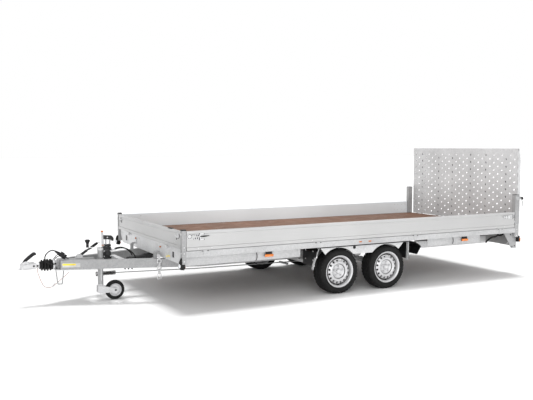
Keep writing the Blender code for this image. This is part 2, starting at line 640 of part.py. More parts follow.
# Running gear
def make_axle(name, station):
    tube_x = station + AXLE_LEAD
    parts = [rod((tube_x, -0.722, AXLE_TUBE_Z), (tube_x, 0.722, AXLE_TUBE_Z), AXLE_TUBE, 10)]
    for side in (1, -1):
        seat = box((tube_x - 0.05, tube_x + 0.05), span(side, BEAM_Y - 0.025, BEAM_Y + 0.025),
                   (AXLE_TUBE_Z + 0.004, BEAM_BOTTOM - GAP))
        arm = [(tube_x + 0.035, AXLE_TUBE_Z), (tube_x, AXLE_TUBE_Z + 0.036), (station, WHEEL_Z + 0.03),
               (station - 0.03, WHEEL_Z), (station, WHEEL_Z - 0.03), (tube_x, AXLE_TUBE_Z - 0.036)]
        drum = [(0, 0.735), (0.10, 0.740), (DRUM_RADIUS, 0.752), (DRUM_RADIUS, 0.870), (0.055, 0.890),
                (0.055, WHEEL_Y + 0.0425), (0, WHEEL_Y + 0.0425)]
        parts += [seat, prism(arm, "y", *span(side, 0.705, 0.742)),
                  turned(drum, (station, 0, WHEEL_Z), (0, side, 0), 16)]
    return node(name, "galvanised", parts)


def make_wheel(name, station, side):
    centre = (station, side * WHEEL_Y, WHEEL_Z)
    half = RIM_WIDTH / 2
    bead = half - 0.0064
    wide = TYRE_WIDTH / 2
    flat = math.cos(math.pi / WHEEL_SIDES)
    side_wall = [(RIM_WELL / flat + 0.0003, bead), (RIM_RADIUS / flat + 0.0010, bead), (0.205, wide), (0.240, wide - 0.006),
                 (TYRE_RADIUS, wide - 0.034)]
    tyre = side_wall + [(r, -y) for r, y in reversed(side_wall)]
    node("tyre_" + name, "tyre", [turned(tyre, centre, (0, side, 0), WHEEL_SIDES)], origin=centre)
    rim = [(0, 0.080), (0.030, 0.078), (0.032, 0.054), (0.062, 0.051), (0.086, 0.066),
           (0.120, 0.066), (0.148, 0.046), (0.158, half), (RIM_RADIUS, half),
           (RIM_RADIUS, bead + 0.0004), (RIM_WELL, bead + 0.0004), (RIM_WELL, -bead - 0.0004),
           (RIM_RADIUS, -bead - 0.0004), (RIM_RADIUS, -half), (0.160, -half), (0.154, 0.036),
           (0.118, 0.059), (0.088, 0.059), (0.062, 0.043), (0, 0.043)]
    vents = []
    for k in range(VENT_COUNT):
        a = 2 * math.pi * k / VENT_COUNT
        x, z = station + VENT_CIRCLE * math.cos(a), WHEEL_Z + VENT_CIRCLE * math.sin(a)
        vents.append(rod((x, centre[1] + side * 0.050, z), (x, centre[1] + side * 0.075, z), VENT_RADIUS, 4))
    node("rim_" + name, "silver", [turned(rim, centre, (0, side, 0), RIM_SIDES)], vents, origin=centre)


def make_mudguard(name, side):
    thick, top = GUARD_THICK, GUARD_TOP
    outer = [(GUARD_FRONT, GUARD_BOTTOM), (GUARD_FRONT, top - 0.05), (GUARD_FRONT - 0.05, top),
             (GUARD_REAR, top), (GUARD_REAR - 0.10, top - 0.012), (GUARD_REAR - 0.19, 0.47),
             (GUARD_REAR - 0.13, 0.375)]
    inner = [(GUARD_REAR - 0.13 + thick, 0.378), (GUARD_REAR - 0.183, 0.468), (GUARD_REAR - 0.097, top - 0.018),
             (GUARD_REAR, top - thick), (GUARD_FRONT - 0.053, top - thick),
             (GUARD_FRONT - thick, top - 0.053), (GUARD_FRONT - thick, GUARD_BOTTOM)]
    shell = prism(outer + inner, "y", *span(side, GUARD_INNER_Y, RIM_PLANE_Y))
    flap = box((GUARD_REAR - thick, GUARD_REAR), span(side, GUARD_INNER_Y, RIM_PLANE_Y),
               (GUARD_BOTTOM, top - 0.002))
    stay_y = span(side, BEAM_Y + BEAM_WIDTH / 2 + GAP, GUARD_INNER_Y + 0.02)
    stay = box((-2.315, -2.235), stay_y, (top - 0.0055, top - 0.0015))
    foot_y = span(side, BEAM_Y + BEAM_WIDTH / 2 + GAP, BEAM_Y + BEAM_WIDTH / 2 + 0.008)
    foot = box((-2.315, -2.235), foot_y, (BEAM_TOP - 0.06, top - 0.002))
    return node(name, "galvanised", [shell, flap, stay, foot])


# Drawbar fittings
def make_housing():
    top = BEAM_TOP
    body = [(-HOUSING_HALF, BEAM_BOTTOM), (HOUSING_HALF, BEAM_BOTTOM), (HOUSING_HALF, top - 0.02),
            (HOUSING_HALF - 0.016, top), (-HOUSING_HALF + 0.016, top), (-HOUSING_HALF, top - 0.02)]
    parts = [prism(body, "x", HOUSING_REAR, HOUSING_FRONT - 0.046)]
    parts.append(rod((HOUSING_FRONT - 0.060, 0, SHAFT_Z), (HOUSING_FRONT, 0, SHAFT_Z), 0.043, 16))
    parts.append(box((0.885, 0.925), (0.0, 0.059), (0.452, 0.468)))
    return node("overrun_housing", "galvanised", parts)


def make_drawbar_plate():
    low, high = BEAM_BOTTOM - PLATE_THICK, BEAM_BOTTOM - GAP
    outline = [(1.03, -0.07), (1.03, 0.07), (0.98, 0.10), (0.62, 0.225), (0.62, -0.225), (0.98, -0.10)]
    loop = [(1.022, 0.055, low + 0.004), (1.005, 0.055, 0.225), (0.995, 0.055, 0.212), (0.968, 0.055, 0.210),
            (0.956, 0.055, 0.222), (0.938, 0.055, low + 0.004)]
    parts = [prism(outline, "z", low, high), bent_rod(loop, 0.005, 6)]
    parts.append(box((0.84, 0.875), (-0.012, 0.012), (low - 0.02, low + 0.002)))
    return node("drawbar_plate", "galvanised", parts)


def make_coupling():
    profile = [(0, HOUSING_FRONT + GAP)]
    turns = 5
    step = (BELLOWS_FRONT - HOUSING_FRONT - 2 * GAP) / turns
    for k in range(turns):
        start = HOUSING_FRONT + GAP + k * step
        crest = BELLOWS_RADIUS - 0.003 * k
        profile += [(crest - 0.012, start), (crest, start + step * 0.35), (crest, start + step * 0.65)]
    profile += [(0.036, BELLOWS_FRONT - GAP), (0, BELLOWS_FRONT - GAP)]
    node("bellows", "black", [turned(profile, (0, 0, SHAFT_Z), (1, 0, 0), 12)])
    neck = rod((BELLOWS_FRONT, 0, SHAFT_Z), (1.262, 0, SHAFT_Z), 0.030, 16)
    z = (HEAD_BOTTOM, HEAD_BOTTOM + 0.012, HEAD_TOP - 0.016, HEAD_TOP)
    inset = (0.0, 0.004, 0.004, 0.018)
    rings = []
    for height, cut in zip(z, inset):
        nose = arc((NOSE_X - 0.042, 0), 0.042 - cut, -80, 80, 6)
        rings.append([(1.215 + cut, -0.030 + cut / 2), *nose, (1.215 + cut, 0.030 - cut / 2)])
    head = loft([[(x, y, height) for x, y in ring] for ring, height in zip(rings, z)])
    ball = [(0, -0.030), (BALL_RADIUS, -0.030), (BALL_RADIUS, 0.002), (0.024, 0.012), (0.015, 0.021), (0, 0.025)]
    socket = turned(ball, (BALL_X, 0, HEAD_BOTTOM + 0.012), (0, 0, 1), 16)
    node("coupling_head", "galvanised", [neck, head], [socket])
    grip = [(1.35, HEAD_TOP + GAP), (1.30, HEAD_TOP + GAP), (1.272, 0.478), (1.222, 0.535), (1.220, 0.550),
            (1.232, 0.556), (1.300, 0.512), (1.340, 0.496), (1.352, 0.475)]
    node("coupling_handle", "black", [prism(grip, "y", -0.018, 0.018)])


def make_handbrake():
    top = BEAM_TOP + GAP
    base = prism([(0.80, top), (0.72, top), (0.735, 0.50), (0.775, 0.50)], "y", -0.012, 0.012)
    lever = bent_rod([(0.765, 0, 0.480), (0.72, 0, 0.508), (0.635, 0, 0.560)], 0.009, 8)
    grip = bent_rod([(0.645, 0, 0.554), (0.575, 0, 0.605), (0.559, 0, 0.616)], 0.015, 8)
    strut = bent_rod([(0.742, 0, 0.478), (0.66, 0, 0.538)], 0.011, 8)
    return node("handbrake_lever", "black", [base, lever, grip, strut])


def make_jockey():
    place = (JOCKEY_X, JOCKEY_Y)
    tube = rod((*place, JOCKEY_TUBE_BOTTOM), (*place, JOCKEY_TOP), JOCKEY_TUBE, 16)
    edge = inner_edge(JOCKEY_X - 0.027) - GAP
    clamp = prism([(JOCKEY_X - 0.027, JOCKEY_Y + 0.013), (JOCKEY_X + 0.03, JOCKEY_Y + 0.013),
                   (JOCKEY_X + 0.03, inner_edge(JOCKEY_X + 0.03) - GAP), (JOCKEY_X - 0.027, edge)],
                  "z", 0.385, 0.452)
    collar = rod((*place, 0.376), (*place, 0.461), JOCKEY_TUBE + 0.009, 12)
    node("jockey_tube", "galvanised", [tube, collar, clamp])
    shaft = rod((*place, JOCKEY_TOP + GAP), (*place, 0.590), 0.012, 10)
    arm = box((JOCKEY_X - 0.012, 0.704), (JOCKEY_Y - 0.009, JOCKEY_Y + 0.009), (0.583, 0.589))
    knob = rod((0.692, JOCKEY_Y, 0.585), (0.692, JOCKEY_Y, 0.668), 0.012, 10)
    node("jockey_crank", "galvanised", [shaft, arm, knob])
    top = JOCKEY_TUBE_BOTTOM - GAP
    swivel = rod((*place, 0.140), (*place, top), 0.026, 12)
    parts = [swivel, box((JOCKEY_X - 0.028, JOCKEY_X + 0.02), (JOCKEY_Y - 0.040, JOCKEY_Y + 0.040), (0.138, 0.158))]
    cheek = [(JOCKEY_X - 0.028, 0.158), (JOCKEY_X + 0.02, 0.158), (JOCKEY_X + 0.01, 0.120),
             (JOCKEY_WHEEL_X + 0.01, 0.085), (JOCKEY_WHEEL_X - 0.018, 0.090), (JOCKEY_WHEEL_X - 0.020, 0.122)]
    for side in (1, -1):
        parts.append(prism(cheek, "y", *sorted((JOCKEY_Y + side * 0.036, JOCKEY_Y + side * 0.040))))
    parts.append(rod((JOCKEY_WHEEL_X, JOCKEY_Y - 0.038, JOCKEY_Z), (JOCKEY_WHEEL_X, JOCKEY_Y + 0.038, JOCKEY_Z),
                     0.008, 10))
    node("jockey_fork", "galvanised", parts, origin=(*place, top))
    centre = (JOCKEY_WHEEL_X, JOCKEY_Y, JOCKEY_Z)
    bore = 0.0716 / math.cos(math.pi / JOCKEY_SIDES) + GAP
    tyre = [(bore, -0.026), (0.085, -0.029), (0.099, -0.025), (JOCKEY_RADIUS, -0.012),
            (JOCKEY_RADIUS, 0.012), (0.099, 0.025), (0.085, 0.029), (bore, 0.026)]
    node("jockey_tyre", "tyre", [turned(tyre, centre, (0, 1, 0), JOCKEY_SIDES)], origin=centre)
    rim = [(0.0085, -0.030), (0.020, -0.030), (0.020, -0.008), (0.060, -0.008), (0.064, -0.024), (0.0716, -0.024),
           (0.0716, 0.024), (0.064, 0.024), (0.060, 0.008), (0.020, 0.008), (0.020, 0.030), (0.0085, 0.030)]
    node("jockey_rim", "silver", [turned(rim, centre, (0, 1, 0), 12)], origin=centre)


def make_pump():
    low = CROSS_TOP + GAP
    side = [(PUMP_FROM, low), (PUMP_TO - 0.01, low), (PUMP_TO, 0.46), (PUMP_TO, 0.545), (PUMP_TO - 0.02, PUMP_TOP),
            (PUMP_FROM + 0.02, PUMP_TOP), (PUMP_FROM, 0.555)]
    node("hand_pump", "black", [prism(side, "y", -0.048, 0.048)])
    start = PUMP_TOP + GAP
    block = box((0.445, 0.495), (-0.018, 0.018), (start, start + 0.025))
    links = [bent_rod([(0.458, y, start + 0.01), (0.462, y, 0.64), (0.478, y, 0.672)], 0.006, 6) for y in (-0.012, 0.012)]
    socket = bent_rod([(0.472, 0, 0.600 - 0.01), (0.481, 0, 0.689)], 0.017, 10)
    handle = bent_rod([(0.478, 0, 0.66), (0.487, 0, 0.752)], 0.012, 10)
    node("pump_lever", "galvanised", [block, socket, handle] + links)


def make_brake_rod():
    z = 0.276
    front = BEAM_BOTTOM - PLATE_THICK - 0.02 - GAP
    link = prism([(0.87, front), (0.84, front), (0.575, z - 0.008), (0.56, z - 0.006), (0.56, z + 0.008),
                  (0.60, z + 0.012)], "y", -0.008, 0.008)
    spring = rod((0.351, 0, z), (0.575, 0, z), 0.022, 12)
    long_rod = bent_rod([(0.40, 0, z), (-0.60, 0, 0.245), (-2.46, 0, 0.222)], 0.006, 8)
    bars = [box((x - 0.012, x + 0.012), (-0.10, 0.10), (0.212, 0.232)) for x in (-1.79, -2.46)]
    hanger = box((-2.466, -2.454), (-0.006, 0.006), (0.225, AXLE_TUBE_Z - AXLE_TUBE - GAP))
    node("brake_rod", "galvanised", [link, spring, long_rod, hanger] + bars)


def make_tube(name, finish, route, radius, steps):
    """Cord or hose: a bevelled curve with filled caps, on points read from a smooth curve."""
    points = smooth(route, steps)
    curve = bpy.data.curves.new(name, "CURVE")
    curve.dimensions = "3D"
    curve.bevel_depth = radius
    curve.bevel_resolution = 2
    curve.use_fill_caps = True
    line = curve.splines.new("POLY")
    line.points.add(len(points) - 1)
    for spot, p in zip(line.points, points):
        spot.co = (p[0] - ORIGIN_X, p[1], p[2], 1)
    curve.materials.append(material_for(name, finish))
    tube = bpy.data.objects.new(name, curve)
    bpy.context.scene.collection.objects.link(tube)
    return tube


def make_cords():
    for name, side in (("left", 1), ("right", -1)):
        route = [(PUMP_FROM - 2 * GAP, side * 0.022, 0.535), (0.38, side * 0.022, 0.535), (0.32, side * 0.026, 0.552),
                 (0.25, side * 0.034, 0.545), (0.187, side * 0.044, 0.503), (0.140, side * 0.056, 0.44),
                 (0.150, side * 0.065, 0.385), (0.200, side * 0.066, 0.378), (0.255, side * 0.066, 0.402),
                 (0.279, side * 0.066, 0.402)]
        make_tube("hose_" + name, "black", route, 0.007, 2)
    make_tube("plug_lead", "black", [(1.024, 0.0428, 0.430), (1.028, 0.064, 0.431), (1.075, 0.084, 0.436), (1.118, 0.084, 0.456),
                                     (1.140, 0.076, 0.502), (1.112, 0.062, 0.552), (1.060, 0.050, 0.578),
                                     (1.0252, 0.050, 0.5672)], 0.006, 2)
    node("plug", "black", [rod((1.024, 0.050, 0.566), (0.918, 0.050, 0.489), 0.021, 12)])
    make_tube("breakaway_cable", "black", [(1.200, 0.0, 0.3876), (1.200, 0.0, 0.345), (1.154, 0.040, 0.205),
                                           (1.100, 0.046, 0.180), (1.051, 0.040, 0.190), (0.930, 0.012, 0.275),
                                           (0.872, 0.0, 0.3210)], 0.004, 2)


def main():
    for thing in list(bpy.data.objects):
        bpy.data.objects.remove(thing)
    make_floor()
    make_front_beam()
    make_rear_beam()
    make_bed_frame()
    make_bed_lamps()
    make_ramp()
    make_front_board()
    for name, side in (("left", 1), ("right", -1)):
        make_rail("rail_" + name, side)
        make_posts(name, side)
        make_side_board("side_" + name, side)
        make_beam("beam_" + name, side)
        make_mudguard("mudguard_" + name, side)
        for place, station in AXLES.items():
            make_wheel(place + "_" + name, station, side)
    for place, station in AXLES.items():
        make_axle("axle_" + place, station)
    make_crossmembers()
    make_cylinder()
    make_housing()
    make_drawbar_plate()
    make_coupling()
    make_handbrake()
    make_jockey()
    make_pump()
    make_brake_rod()
    make_cords()


main()
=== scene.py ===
import math

import bmesh
import bpy
from mathutils import Matrix, Vector


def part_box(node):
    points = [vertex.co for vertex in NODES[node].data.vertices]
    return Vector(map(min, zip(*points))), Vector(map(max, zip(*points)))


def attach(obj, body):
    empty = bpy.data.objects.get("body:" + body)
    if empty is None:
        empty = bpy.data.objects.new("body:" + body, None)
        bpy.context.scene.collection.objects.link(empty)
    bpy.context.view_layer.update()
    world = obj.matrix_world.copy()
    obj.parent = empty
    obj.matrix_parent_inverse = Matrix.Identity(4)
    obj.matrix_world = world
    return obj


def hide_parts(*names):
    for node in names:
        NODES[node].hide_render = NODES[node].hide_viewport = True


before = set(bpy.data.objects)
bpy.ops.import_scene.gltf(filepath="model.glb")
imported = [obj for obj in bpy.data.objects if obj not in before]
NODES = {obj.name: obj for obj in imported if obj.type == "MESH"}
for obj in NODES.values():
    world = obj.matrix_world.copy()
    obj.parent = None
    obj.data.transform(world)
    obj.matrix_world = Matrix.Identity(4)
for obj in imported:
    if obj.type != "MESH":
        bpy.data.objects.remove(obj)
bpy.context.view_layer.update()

MM = 0.001
# The bed's front face lies this many millimetres ahead of the frame's origin.
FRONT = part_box("floor")[1].x / MM + 60.3


# Material makers
def new_material(name, colour, roughness, metallic=0.0, specular=0.5):
    material = bpy.data.materials.new(name)
    material.use_nodes = True
    tree = material.node_tree
    shader = tree.nodes["Principled BSDF"]
    for socket, value in (("Base Color", (*colour, 1)), ("Roughness", roughness), ("Metallic", metallic),
                          ("Specular IOR Level", specular)):
        shader.inputs[socket].default_value = value
    return material, tree, shader


def coordinates(tree, scale=(1, 1, 1)):
    """Object coordinates, stretched by scale."""
    place = tree.nodes.new("ShaderNodeTexCoord")
    mapping = tree.nodes.new("ShaderNodeMapping")
    mapping.inputs["Scale"].default_value = scale
    tree.links.new(place.outputs["Object"], mapping.inputs["Vector"])
    return mapping.outputs["Vector"]


def noise(tree, vector, scale, detail=4.0):
    texture = tree.nodes.new("ShaderNodeTexNoise")
    texture.inputs["Scale"].default_value = scale
    texture.inputs["Detail"].default_value = detail
    tree.links.new(vector, texture.inputs["Vector"])
    return texture.outputs["Fac"]


def cells(tree, vector, scale, output="Color"):
    texture = tree.nodes.new("ShaderNodeTexVoronoi")
    texture.inputs["Scale"].default_value = scale
    tree.links.new(vector, texture.inputs["Vector"])
    return texture.outputs[output]


def grey(value):
    return (value, value, value)


def ramp(tree, value, start, first, stop, last):
    """Colour or grey that goes from first to last while a value goes from start to stop."""
    node = tree.nodes.new("ShaderNodeValToRGB")
    for element, place, colour in zip(node.color_ramp.elements, (start, stop), (first, last)):
        element.position = place
        element.color = (*(colour if isinstance(colour, tuple) else grey(colour)), 1)
    tree.links.new(value, node.inputs["Fac"])
    return node.outputs["Color"]


def mixed(tree, factor, a, b, blend="MIX"):
    node = tree.nodes.new("ShaderNodeMix")
    node.data_type = "RGBA"
    node.blend_type = blend
    for socket, value in ((node.inputs[0], factor), (node.inputs[6], a), (node.inputs[7], b)):
        if isinstance(value, bpy.types.NodeSocket):
            tree.links.new(value, socket)
        else:
            socket.default_value = (*value, 1) if isinstance(value, tuple) else value
    return node.outputs[2]


def bumped(tree, shader, height, strength, distance):
    bump = tree.nodes.new("ShaderNodeBump")
    bump.inputs["Strength"].default_value = strength
    bump.inputs["Distance"].default_value = distance
    tree.links.new(height, bump.inputs["Height"])
    tree.links.new(bump.outputs["Normal"], shader.inputs["Normal"])


def dirt_and_wear(tree, shader, base, low, high, scale=3.0):
    """Broad cloudy shift of a base colour, as handling and weather leave."""
    clouds = noise(tree, coordinates(tree), scale, 6.0)
    colour = mixed(tree, 1.0, base, ramp(tree, clouds, 0.3, low, 0.7, high), "MULTIPLY")
    tree.links.new(colour, shader.inputs["Base Color"])


def roughened(tree, shader, value, start, low, stop, high):
    """Roughness that goes from low to high while a value goes from start to stop."""
    tree.links.new(ramp(tree, value, start, low, stop, high), shader.inputs["Roughness"])


def galvanised(name, low, high):
    """Hot-dip zinc: small crystals of slightly different grey, cloudy and faintly uneven."""
    material, tree, shader = new_material(name, grey(high), 0.45, 0.2)
    crystals = cells(tree, coordinates(tree), 70)
    tone = ramp(tree, crystals, 0.0, (low, low * 1.01, low * 1.02), 1.0, (high, high, high * 1.01))
    dirt_and_wear(tree, shader, tone, 0.86, 1.04)
    roughened(tree, shader, crystals, 0.0, 0.32, 1.0, 0.52)
    bumped(tree, shader, noise(tree, coordinates(tree), 160, 3.0), 0.12, 0.001)
    return material


def rolled_aluminium(name, inward):
    """Extruded boards: long fine draw lines along their length, and painted light that makes the inside faces
    brighter.
    """
    material, tree, shader = new_material(name, grey(BOARD_OUTSIDE), 0.38, 0.2)
    lines = noise(tree, coordinates(tree, (1.2, 90, 260)), 3.0, 5.0)
    tone = ramp(tree, lines, 0.3, BOARD_OUTSIDE * 0.96, 0.7, BOARD_OUTSIDE * 1.04)
    # Faces turned inward get the lighter inside colour: painted light.
    if inward:
        facing = tree.nodes.new("ShaderNodeVectorMath")
        facing.operation = "DOT_PRODUCT"
        facing.inputs[1].default_value = (0, inward, 0)
        source = tree.nodes.new("ShaderNodeTexCoord")
        tree.links.new(source.outputs["Normal"], facing.inputs[0])
        tone = mixed(tree, ramp(tree, facing.outputs["Value"], 0.5, 0.0, 0.7, 1.0), tone, LIT_BOARD_INSIDE)
    dirt_and_wear(tree, shader, tone, 0.95, 1.03, 1.6)
    roughened(tree, shader, lines, 0.2, 0.27, 0.8, 0.42)
    bumped(tree, shader, lines, 0.10, 0.0006)
    return material


def filmed_plywood():
    """Brown phenolic film with the wire mesh print of a slip-proof load floor."""
    material, tree, shader = new_material("floor_film", (0.20, 0.10, 0.055), 0.5, specular=0.2)
    mesh = coordinates(tree, (1, 1, 0.01))
    hexes = cells(tree, mesh, 190, "Distance")
    tone = ramp(tree, hexes, 0.0, (0.160, 0.077, 0.042), 0.6, (0.115, 0.054, 0.030))
    dirt_and_wear(tree, shader, tone, 0.78, 1.1, 2.2)
    roughened(tree, shader, noise(tree, mesh, 8.0), 0.3, 0.42, 0.7, 0.6)
    bumped(tree, shader, hexes, 0.35, 0.0008)
    return material


def moulded(name, colour=(0.009, 0.009, 0.010), roughness=0.45, grain=420):
    """Plastic, rubber or paint with a fine grain."""
    material, tree, shader = new_material(name, colour, roughness, specular=0.25)
    bumped(tree, shader, noise(tree, coordinates(tree), grain, 2.0), 0.25, 0.0006)
    dirt_and_wear(tree, shader, colour, 0.75, 1.35, 9.0)
    roughened(tree, shader, noise(tree, coordinates(tree), 14), 0.3, roughness - 0.08, 0.7, roughness + 0.1)
    return material


def tyre_rubber():
    material, tree, shader = new_material("tyre_rubber", (0.022, 0.022, 0.023), 0.72, specular=0.2)
    dust = noise(tree, coordinates(tree), 7.0, 6.0)
    tone = ramp(tree, dust, 0.35, (0.005, 0.005, 0.0055), 0.75, (0.015, 0.015, 0.0145))
    tree.links.new(tone, shader.inputs["Base Color"])
    roughened(tree, shader, dust, 0.3, 0.6, 0.7, 0.85)
    bumped(tree, shader, noise(tree, coordinates(tree), 300, 3.0), 0.2, 0.0006)
    return material


def wheel_silver():
    material, tree, shader = new_material("wheel_silver", (0.56, 0.56, 0.57), 0.38, 0.35)
    flake = noise(tree, coordinates(tree), 900, 1.0)
    dirt_and_wear(tree, shader, ramp(tree, flake, 0.3, (0.53, 0.53, 0.54), 0.7, (0.60, 0.60, 0.61)), 0.92, 1.03, 6.0)
    roughened(tree, shader, noise(tree, coordinates(tree), 12), 0.3, 0.33, 0.7, 0.45)
    return material


def lens(name, colour):
    """Ribbed translucent lamp plastic."""
    material, tree, shader = new_material(name, colour, 0.12)
    shader.inputs["Coat Weight"].default_value = 0.6
    shader.inputs["Transmission Weight"].default_value = 0.15
    ribs = tree.nodes.new("ShaderNodeTexWave")
    ribs.inputs["Scale"].default_value = 90
    tree.links.new(coordinates(tree), ribs.inputs["Vector"])
    tone = ramp(tree, ribs.outputs["Fac"], 0.0, tuple(c * 0.7 for c in colour), 1.0, colour)
    tree.links.new(tone, shader.inputs["Base Color"])
    bumped(tree, shader, ribs.outputs["Fac"], 0.4, 0.001)
    return material


BOARD_OUTSIDE = 0.43
# Lighter colour of the side boards' inside faces: painted light.
LIT_BOARD_INSIDE = (0.72, 0.755, 0.775)
# Copies of one zinc at several levels, set to the tones the parts show in their light: the ramp's lighter copy is
# painted light, the body's and frame's darker copies are painted shade.
ZINC = galvanised("zinc", 0.53, 0.68)
RAMP_LIT_ZINC = galvanised("ramp_lit_zinc", 0.50, 0.61)
BODY_SHADED_ZINC = galvanised("body_shaded_zinc", 0.39, 0.49)
FRAME_SHADED_ZINC = galvanised("frame_shaded_zinc", 0.29, 0.37)
BOARD = rolled_aluminium("board_metal", 0)
BOARD_LEFT = rolled_aluminium("board_metal_left", -1)
BOARD_RIGHT = rolled_aluminium("board_metal_right", 1)
PLY = filmed_plywood()
BLACK = moulded("black_plastic")
PAINT = moulded("black_paint", (0.02, 0.02, 0.021), 0.3, 60)
RUBBER = moulded("rubber", (0.008, 0.008, 0.008), 0.6, 200)
TYRE = tyre_rubber()
SILVER = wheel_silver()
ORANGE = lens("orange_lens", (0.95, 0.25, 0.02))
RED = lens("red_lens", (0.62, 0.01, 0.01))
WHITE = lens("white_lens", (0.85, 0.87, 0.9))
BRASS = moulded("orange_brown_cap", (0.42, 0.13, 0.03), 0.4, 80)
LABEL = moulded("yellow_plate", (0.85, 0.66, 0.05), 0.35, 40)
PALE = moulded("white_plate", (0.52, 0.52, 0.51), 0.35, 40)
ROPE = moulded("red_brown_cable", (0.36, 0.20, 0.16), 0.5, 300)
DRUM = moulded("drum_iron", (0.05, 0.048, 0.046), 0.6, 120)

# Materials of the CAD's nodes, by the start of their name; the first that fits counts
FINISHES = (("floor", PLY), ("front_board", BOARD), ("side_marker", BLACK), ("side_left", BOARD_LEFT),
            ("side_right", BOARD_RIGHT), ("beam_", FRAME_SHADED_ZINC), ("post_", FRAME_SHADED_ZINC), ("rear_beam", FRAME_SHADED_ZINC),
            ("jockey_tube", FRAME_SHADED_ZINC), ("overrun_housing", FRAME_SHADED_ZINC), ("brake_rod", FRAME_SHADED_ZINC),
            ("ramp", RAMP_LIT_ZINC), ("rail_", BODY_SHADED_ZINC), ("tyre", TYRE), ("jockey_tyre", TYRE), ("rim", SILVER),
            ("jockey_rim", SILVER), ("cylinder_rod", SILVER), ("coupling_head", SILVER), ("bellows", RUBBER),
            ("hose_", RUBBER), ("plug_lead", RUBBER), ("breakaway_cable", RUBBER), ("coupling_handle", BLACK),
            ("handbrake_lever", BLACK), ("plug", BLACK), ("position_lamp", BLACK), ("rear_lamp", BLACK),
            ("mudguard_", BLACK), ("hand_pump", PAINT), ("cylinder_barrel", PAINT), ("", ZINC))

for node_name, item in NODES.items():
    item.data.materials.clear()
    item.data.materials.append(next(finish for start, finish in FINISHES if node_name.startswith(start)))


# Piece makers
X, Y, Z = Vector((1, 0, 0)), Vector((0, 1, 0)), Vector((0, 0, 1))
RIVET = [(6, 0), (5, 2.5), (0, 3)]


def show(name, mesh, material, body="chassis", slot=None, smooth=40, node=None):
    """The mesh as a piece that rides a body, and stands in for a CAD node if one is named."""
    piece = bpy.data.objects.new(name, mesh)
    bpy.context.scene.collection.objects.link(piece)
    mesh.materials.clear()
    mesh.materials.append(material)
    mesh.shade_smooth()
    mesh.set_sharp_from_angle(angle=math.radians(smooth))
    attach(piece, body)
    if node:
        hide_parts(node)
    return piece


def at(x, y, z):
    """Place given in millimetres from the bed's front face, in the frame's directions."""
    return Vector((x + FRONT, y, z))


def mirrored(profile, middle=()):
    """A profile followed by a middle and its own mirror image."""
    return profile + list(middle) + [(radius, -place) for radius, place in reversed(profile)]


def smooth_route(points, steps=6):
    """Points of a Catmull-Rom curve through a route's points."""
    route = [Vector(p) for p in points]
    ends = [route[0] * 2 - route[1]] + route + [route[-1] * 2 - route[-2]]
    result = []
    for i in range(1, len(ends) - 2):
        a, b, c, d = ends[i - 1:i + 3]
        for k in range(steps):
            t = k / steps
            curve = b * 2 + (c - a) * t + (a * 2 - b * 5 + c * 4 - d) * t ** 2
            result.append((curve + (b * 3 - a - c * 3 + d) * t ** 3) / 2)
    return result + [route[-1]]


